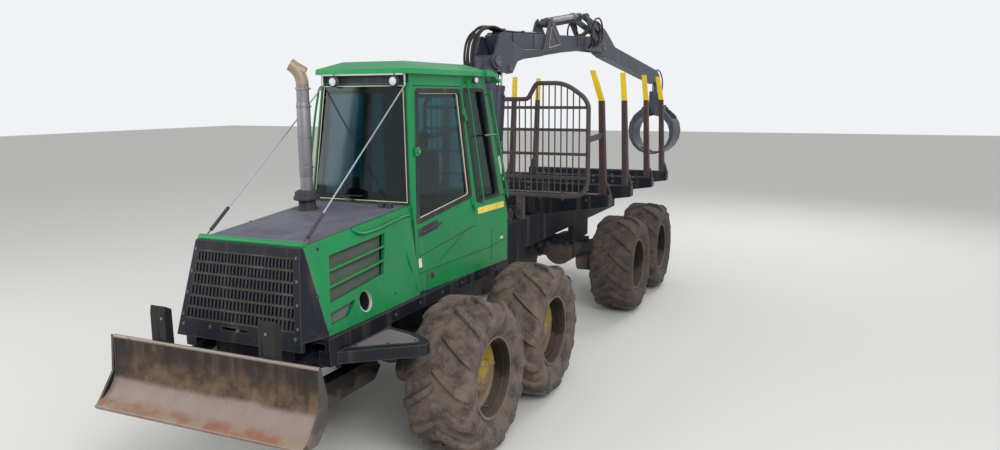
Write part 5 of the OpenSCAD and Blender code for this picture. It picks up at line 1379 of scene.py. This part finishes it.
class Headboard(bpy.types.Operator):
    """The headboard: a bent round tube with its notch, flat rails, and rods between them."""

    bl_idname = "forwarder.headboard"
    bl_label = "Headboard"

    HALF = ((0.34, 2.975), (0.45, 3.167), (0.82, 3.167), (1.06, 3.0), (1.122, 2.9), (1.122, 1.95),
            (1.06, 1.82), (0.9, 1.788))
    Y = 2.6
    PITCH = 0.078
    RAILS_Z = (2.02, 2.31, 2.604, 2.873)
    FOOT_X = 0.245
    BRACE_X = 1.112

    def rounded_line(self, line):
        """Wide bends at the outer corners, tight ones at the notch."""
        bent = []
        for i, corner in enumerate(line):
            x, corner = abs(corner[0]), Vector(corner)
            back, ahead = Vector(line[i - 1]) - corner, Vector(line[(i + 1) % len(line)]) - corner
            reach = 0.045 if x < 0.6 else min(0.14, back.length * 0.48, ahead.length * 0.48)
            a, b = corner + back.normalized() * reach, corner + ahead.normalized() * reach
            bent += [a.lerp(corner, t / 6).lerp(corner.lerp(b, t / 6), t / 6) for t in range(7)]
        return bent

    def top(self, x):
        """The tube's height over a place to the side."""
        points = [(0, self.HALF[0][1]), *self.HALF]
        spans = zip(points, points[1:])
        return next(z0 + (z1 - z0) * (x - x0) / (x1 - x0) for (x0, z0), (x1, z1) in spans if x <= x1)

    def execute(self, context):
        y = self.Y
        outline = self.rounded_line([*self.HALF, *((-x, z) for x, z in reversed(self.HALF))])
        tube("headboard_tube", [at(p.x, y, p.y) for p in outline], 0.028, "rail", smooth=False, closed=True,
             node="headboard")
        shapes = [(block, at(-1.1, y - 0.01, z - 0.018), at(1.1, y + 0.01, z + 0.018)) for z in self.RAILS_Z]
        for x in (-self.FOOT_X, self.FOOT_X):
            shapes.append((block, at(x - 0.045, y - 0.04, 1.48), at(x + 0.045, y + 0.04, 1.775)))
            shapes += ((bolt, at(x, y - 0.04, z), (0, -1, 0), 0.014) for z in (1.6, 1.7))
        build("headboard_rails", "rail", 0.003, *shapes, body="rear_frame")
        places = [k * self.PITCH for k in range(-13, 14)]
        build("headboard_rods", "rail", 0, *((rod, at(x, y - 0.017, 1.79), at(x, y - 0.017, self.top(abs(x)) - 0.005),
                                                0.0085, 12) for x in places), body="rear_frame")
        for side, word in SIDES:
            x = side * self.BRACE_X
            flat = [at(x, y + 0.02, 2.45), at(x, 3.17, 2.475), at(x, 3.17, 2.55), at(x, y + 0.02, 2.525)]
            ends = ((rod, at(side * 1.118, end - 0.012, z), at(side * 1.119, end + 0.012, z), 0.024)
                    for end, z in ((y + 0.03, 2.481), (3.155, 2.519)))
            build("stake_brace_" + word, "rail", 0.002, (prism, flat, Vector((side * 0.012, 0, 0))), *ends,
                  body="rear_frame")
        return {"FINISHED"}


class CraneParts(bpy.types.Operator):
    """The crane's pin caps, cylinder heads and pipes, hoses, welds and bolts."""

    bl_idname = "forwarder.crane_parts"
    bl_label = "Crane details"

    # Place in the crane's plane, half width over the pin, cap radius, body
    CAPS = ((0.14, 3.42, 0.165, 0.066, "crane_column"), (0.34, 2.37, 0.071, 0.048, "crane_column"),
            (0.45, 3.35, 0.15, 0.05, "main_boom"), (1.61, 3.97, 0.115, 0.046, "main_boom"),
            (3.33, 3.74, 0.12, 0.064, "main_boom"), (3.02, 3.785, 0.153, 0.046, "main_boom"),
            (2.65, 4.135, 0.15, 0.044, "fold_links"), (3.27, 3.985, 0.111, 0.048, "outer_boom"))
    # Foot, eye, how far the barrel reaches from its foot, its radius, body
    RAMS = (((0.34, 2.37), (0.45, 3.35), 0.772, 0.068, "lift_barrel"),
            ((1.61, 3.97), (2.65, 4.135), 0.905, 0.064, "fold_barrel"))
    # Hoses: along the boom and up, and how much of the hose's own rise is added to each
    ROOT = ((-0.17, 2.12, 0, 0), (-0.18, 2.6, 0, 0), (-0.195, 3.02, 0, 0), (-0.225, 3.28, 0, 1), (-0.238, 3.48, 1, 0),
            (-0.18, 3.64, 1, 0), (-0.03, 3.755, 0, 1), (0.18, 3.812, 0, 0.5), (0.42, 3.792, 0, 0))
    PIPE = ((0.4, 3.792, 0, 0), (0.9, 3.803, 0, 0), (1.3, 3.822, 0, 0), (1.46, 3.832, 0, 0))
    KNUCKLE = ((2.72, 3.872, 0, 0.4), (2.9, 3.895, 0, 1), (3.08, 3.99, 0, 1), (3.23, 4.075, 0, 1), (3.4, 4.085, 0, 1),
               (3.54, 3.99, 0, 1), (3.64, 3.85, 0, 0.5), (3.8, 3.795, 0, 0))
    LOOP = ((2.745, 3.77, -1, 0), (2.72, 3.9, -1, 0), (2.745, 4.01, -1, 0), (2.83, 4.075, 0, 1), (2.945, 4.05, 1, 1),
            (3.0, 3.96, 1, 0), (2.985, 3.84, 1, 0), (2.94, 3.77, 0, 0))
    # A loop's two ends on the boom, and how far they lie to the side
    LOOP_ENDS = ((2.78, 3.7), (2.89, 3.725), 0.116)
    # Along the boom from its tip, up from it, to the side
    TIP = ((-0.16, 0.12, 0.035), (-0.02, 0.155, 0.05), (0.1, 0.05, 0.075), (0.11, -0.15, 0.09), (0.07, -0.29, 0.075),
           (0.01, -0.33, 0.07))
    KNUCKLE_PIN, REACH, DROOP = (3.33, 3.74), 2.68, math.radians(9)
    WELDS = (((1.51, 3.64), (1.59, 3.92)), ((1.59, 3.92), (1.84, 3.7)), ((1.84, 3.7), (1.51, 3.64)))
    SEAM = (((0.5, 3.613), (0.78, 3.578)), ((0.78, 3.578), (1.255, 3.603)))
    TIES = ((0.593, 3.625, 3.775), (1.125, 3.61, 3.79), (2.43, 3.7, 3.85))

    def line(self, points, side, rise=0):
        """A hose's points, to one side and with its own rise."""
        return [on_crane(s + rise * a, z + rise * b, side) for s, z, a, b in points]

    def caps(self):
        """A cap with three bolts on both ends of each pin."""
        for k, (s, z, half, radius, body) in enumerate(self.CAPS, 1):
            shapes = []
            for side in (-1, 1):
                way = BOOM_SIDE * side
                foot = on_crane(s, z, side * half)
                shapes.append((rod, foot - way * 0.004, foot + way * 0.01, radius, 24, radius * 0.94))
                for turn in (0.5, 2.6, 4.7):
                    spot = (s + radius * 0.62 * math.cos(turn), z + radius * 0.62 * math.sin(turn))
                    shapes.append((bolt, on_crane(*spot, side * (half + 0.01)), way, 0.0085))
            build(f"crane_pin_{k}", "steel", 0.0015, *shapes, body=body)

    def cylinder_heads(self):
        """Each barrel's head and bands, its two ports and the pipe between them."""
        for foot, eye, reach, radius, body in self.RAMS:
            start = on_crane(*foot)
            way = (on_crane(*eye) - start).normalized()
            shapes = [(rod, start + way * low, start + way * high, radius + grown, 40) for low, high, grown in
                      ((reach - 0.06, reach + 0.001, 0.007), (reach - 0.105, reach - 0.085, 0.004),
                       (0.055, 0.085, 0.004))]
            ports = (start + way * 0.12, start + way * (reach - 0.13))
            shapes += ((rod, port, port + BOOM_SIDE * (radius + 0.022), 0.016) for port in ports)
            build("cylinder_head_" + body, "crane", 0.002, *shapes,
                  (rod, *(port + BOOM_SIDE * (radius + 0.018) for port in ports), 0.008, 14), body=body)

    def hoses(self, radius):
        """Hoses over the boom's root, pipes along it with their clamps, and hoses and loops at the knuckle."""
        sides = [-0.062 + 0.031 * k for k in range(5)]
        for k, side in enumerate(sides):
            rise = 0.02 * math.sin(k * 2.2)
            hose(f"root_hose_{k + 1}", self.line(self.ROOT, side, rise), radius * (1.25 if k % 2 else 1.0),
                 on_crane(-0.26, 3.1), on_crane(0.2, 3.8))
        for k, side in enumerate(sides, 1):
            tube(f"boom_pipe_{k}", self.line(self.PIPE, side), 0.0095, "steel", "main_boom")
        clamps = []
        for s, z in ((0.43, 3.773), (0.9, 3.78), (1.3, 3.798)):
            corners = ((-0.018, -0.085), (0.018, -0.085), (0.018, 0.085), (-0.018, 0.085))
            clamps.append((prism, [on_crane(s + a, z, b) for a, b in corners], Vector((0, 0, 0.04))))
        build("pipe_clamps", "trim", 0.003, *clamps, body="main_boom")
        # Past the knuckle, from the main boom's side to the outer boom's
        for k in range(4):
            line = self.line(self.KNUCKLE, -0.04 + 0.028 * (k % 2), 0.03 * (k // 2))
            hose(f"knuckle_hose_{k + 1}", line, radius * 0.9, on_crane(2.95, 3.9),
                 on_crane(3.55, 3.95))
        # Loops that stand up beside the knuckle
        start, end, root = self.LOOP_ENDS
        for k, (side, grown) in enumerate(((0.187, 0), (0.211, 0.045), (-0.19, 0.02)), 1):
            line = self.line(self.LOOP, side, grown)
            # The loop leans in at both ends
            for i in (0, -1):
                line[i] -= BOOM_SIDE * side * 0.06
            foot = math.copysign(root, side)
            tube(f"knuckle_loop_{k}", [on_crane(*start, foot), *line, on_crane(*end, foot)], radius * 0.85, "rubber",
                 "main_boom")

    def execute(self, context):
        radius = context.scene.forwarder_sizes.hose_radius
        self.caps()
        self.cylinder_heads()
        self.hoses(radius)

        # Ribs round the bracket that carries the fold cylinder, the beam's weld line and its ties
        welds, ties = [], []
        for side in (-1, 1):
            welds += ((beam, on_crane, *ends, side * 0.119, 0.008, 8) for ends in self.WELDS)
            welds += ((beam, on_crane, *ends, side * 0.097, 0.008, 8) for ends in self.SEAM)
            ties += ((beam, on_crane, (s, low), (s, high), side * 0.097, 0.0055, 8) for s, low, high in self.TIES)
        build("boom_welds", "edge", 0.001, *welds, body="main_boom")
        build("boom_ties", "rubber", 0.001, *ties, body="main_boom")

        # Two hoses hang from the boom's tip to the rotator
        tip_s = self.KNUCKLE_PIN[0] + self.REACH * math.cos(self.DROOP)
        tip_z = self.KNUCKLE_PIN[1] - self.REACH * math.sin(self.DROOP)
        for side, word in reversed(SIDES):
            hose("tip_hose_" + word, [on_crane(tip_s + s, tip_z + z, side * out) for s, z, out in self.TIP],
                 radius * 0.8, on_crane(tip_s, tip_z + 0.1), on_crane(tip_s, tip_z - 0.24))
        build("rotator_bolts", "steel", 0, *((bolt, on_crane(s, tip_z - 0.2299, out), (0, 0, 1), 0.009)
                                               for s, out in circle((tip_s, 0), 0.092, 10)), body="rotator_link")
        build("slewing_bolts", "steel", 0, *((bolt, at(x, y, 2.06), (0, 0, 1), 0.012)
                                               for x, y in circle((0, COLUMN_Y), 0.228, 14)), body="crane_column")
        return {"FINISHED"}


class FrameParts(bpy.types.Operator):
    """Slewing cylinders' caps, the bunks' bolts and the axles' bolts."""

    bl_idname = "forwarder.frame_parts"
    bl_label = "Frame details"

    CYLINDER_Z = 1.64
    BUNKS_Y = (3.205, 4.308, 5.595, 6.668)

    def execute(self, context):
        caps = []
        for y in (COLUMN_Y - 0.12, COLUMN_Y + 0.12):
            for side in (-1, 1):
                ends = (at(side * x, y, self.CYLINDER_Z) for x in (0.395, 0.432))
                caps.append((rod, *ends, 0.082, 40, 0.078))
                caps += ((bolt, at(side * 0.432, a, b), (side, 0, 0), 0.009)
                         for a, b in circle((y, self.CYLINDER_Z), 0.06, 8))
        build("slewing_caps", "frame", 0.003, *caps, body="rear_frame")
        bolts = []
        for y in self.BUNKS_Y:
            bolts += ((bolt, at(x, y - 0.08, z), (0, -1, 0), 0.013) for x in (0.3, 0.62, 0.94) for z in (1.682, 1.76))
            bolts.append((bolt, at(1.24, y, 1.7), (1, 0, 0), 0.016))
        build("bunk_bolts", "steel", 0, *bolts, body="rear_frame", mirror=True)
        for name, axles in (("front", AXLES_Y[:2]), ("rear", AXLES_Y[2:])):
            bolts = ((bolt, at(0.67, a, b), (1, 0, 0), 0.01) for y in axles
                     for a, b in circle((y, AXLE_Z), 0.1308, 10))
            build("axle_bolts_" + name, "steel", 0, *bolts, body=name + "_frame", mirror=True)
        return {"FINISHED"}


class Stage(bpy.types.Operator):
    """The floor, the lights and the camera."""

    bl_idname = "forwarder.stage"
    bl_label = "Stage"

    CAMERA_AT = (3.95, -6.413, 2.994)
    CAMERA_TURN, CAMERA_TILT, CAMERA_ROLL = 23.901, -9.316, -0.233
    LENS, SENSOR, SIGHT = 27.937, 36, 200
    FLOOR_SIZE = 60
    # The light from all round, and the backdrop's brightness and colour
    ROOM_LIGHT, BACKDROP, BACKDROP_COLOUR = 0.62, 0.95, (0.92, 0.94, 0.96, 1)
    # What the lamps point at
    AIM = (0, 1.5, 1.2)
    # Each lamp's name, place, power and size
    LAMPS = (("Key", (7.5, -8.0, 9.0), 900, 6.0), ("Fill", (-8.0, -6.0, 6.0), 350, 7.0),
             ("Back", (3.0, 13.0, 9.0), 500, 6.0))

    def floor(self):
        """A pale floor."""
        bm = bmesh.new()
        bmesh.ops.create_grid(bm, x_segments=1, y_segments=1, size=self.FLOOR_SIZE)
        mesh = bpy.data.meshes.new("floor")
        bm.to_mesh(mesh)
        bm.free()
        material, shader, _ = start_material("Floor")
        wire(shader, {"Base Color": linear((0.86, 0.86, 0.85)), "Roughness": 0.9})
        mesh.materials.append(material)
        return bpy.data.objects.new("floor", mesh)

    def world(self):
        """Plain light all round, a little bluer where the camera sees it."""
        world = bpy.data.worlds.new("Studio")
        world.use_nodes = True
        tree = world.node_tree
        back = tree.nodes["Background"]
        wire(back, {"Color": (1, 1, 1, 1), "Strength": self.ROOM_LIGHT})
        seen = add(tree, "ShaderNodeBackground", {"Color": self.BACKDROP_COLOUR, "Strength": self.BACKDROP})
        path = tree.nodes.new("ShaderNodeLightPath")
        mix = add(tree, "ShaderNodeMixShader", {"Fac": path.outputs["Is Camera Ray"], 1: back.outputs[0],
                                                2: seen.outputs[0]})
        wire(tree.nodes["World Output"], {"Surface": mix.outputs[0]})
        return world

    def execute(self, context):
        scene = context.scene
        floor = self.floor()
        scene.collection.objects.link(floor)
        scene.world = self.world()
        for name, place, power, size in self.LAMPS:
            lamp = bpy.data.lights.new(name, "AREA")
            lamp.energy, lamp.size = power, size
            holder = bpy.data.objects.new(name, lamp)
            holder.location = at(*place)
            holder.rotation_euler = (at(*self.AIM) - at(*place)).to_track_quat("-Z", "Y").to_euler()
            scene.collection.objects.link(holder)

        lens = bpy.data.cameras.new("Camera")
        lens.lens, lens.sensor_width, lens.clip_end = self.LENS, self.SENSOR, self.SIGHT
        camera = bpy.data.objects.new("Camera", lens)
        camera.matrix_world = Matrix.Translation(at(*self.CAMERA_AT))
        for angle, axis in ((self.CAMERA_TURN, "Z"), (90 + self.CAMERA_TILT, "X"), (self.CAMERA_ROLL, "Z")):
            camera.matrix_world = camera.matrix_world @ Matrix.Rotation(math.radians(angle), 4, axis)
        scene.collection.objects.link(camera)
        scene.camera = camera
        scene.view_settings.view_transform = "Standard"
        return {"FINISHED"}


class ForwarderPanel(bpy.types.Panel):
    """Lists the forwarder's sizes, colours and pieces."""

    bl_idname = "VIEW3D_PT_forwarder"
    bl_label = "Forwarder"
    bl_space_type = "VIEW_3D"
    bl_region_type = "UI"
    bl_category = "Forwarder"

    def draw(self, context):
        for group in (context.scene.forwarder_sizes, context.scene.forwarder_colours):
            for name in group.__annotations__:
                self.layout.prop(group, name)
        for operator in OPERATORS:
            self.layout.operator(operator.bl_idname)


OPERATORS = (DressedFrames, Tyres, Rims, Windows, Stakes, HoodParts, CabParts, CabRoof, CabInterior, StepParts, Stack,
             BladeParts, Headboard, CraneParts, FrameParts, Stage)
CLASSES = (ForwarderSizes, ForwarderColours, *OPERATORS, ForwarderPanel)


def register():
    for cls in CLASSES:
        bpy.utils.register_class(cls)
    bpy.types.Scene.forwarder_sizes = PointerProperty(type=ForwarderSizes)
    bpy.types.Scene.forwarder_colours = PointerProperty(type=ForwarderColours)


def unregister():
    del bpy.types.Scene.forwarder_colours
    del bpy.types.Scene.forwarder_sizes
    for cls in reversed(CLASSES):
        bpy.utils.unregister_class(cls)


def main():
    register()
    make_groups()
    make_materials()
    for operator in OPERATORS:
        kind, action = operator.bl_idname.split(".")
        getattr(getattr(bpy.ops, kind), action)()


if __name__ == "__main__":
    main()
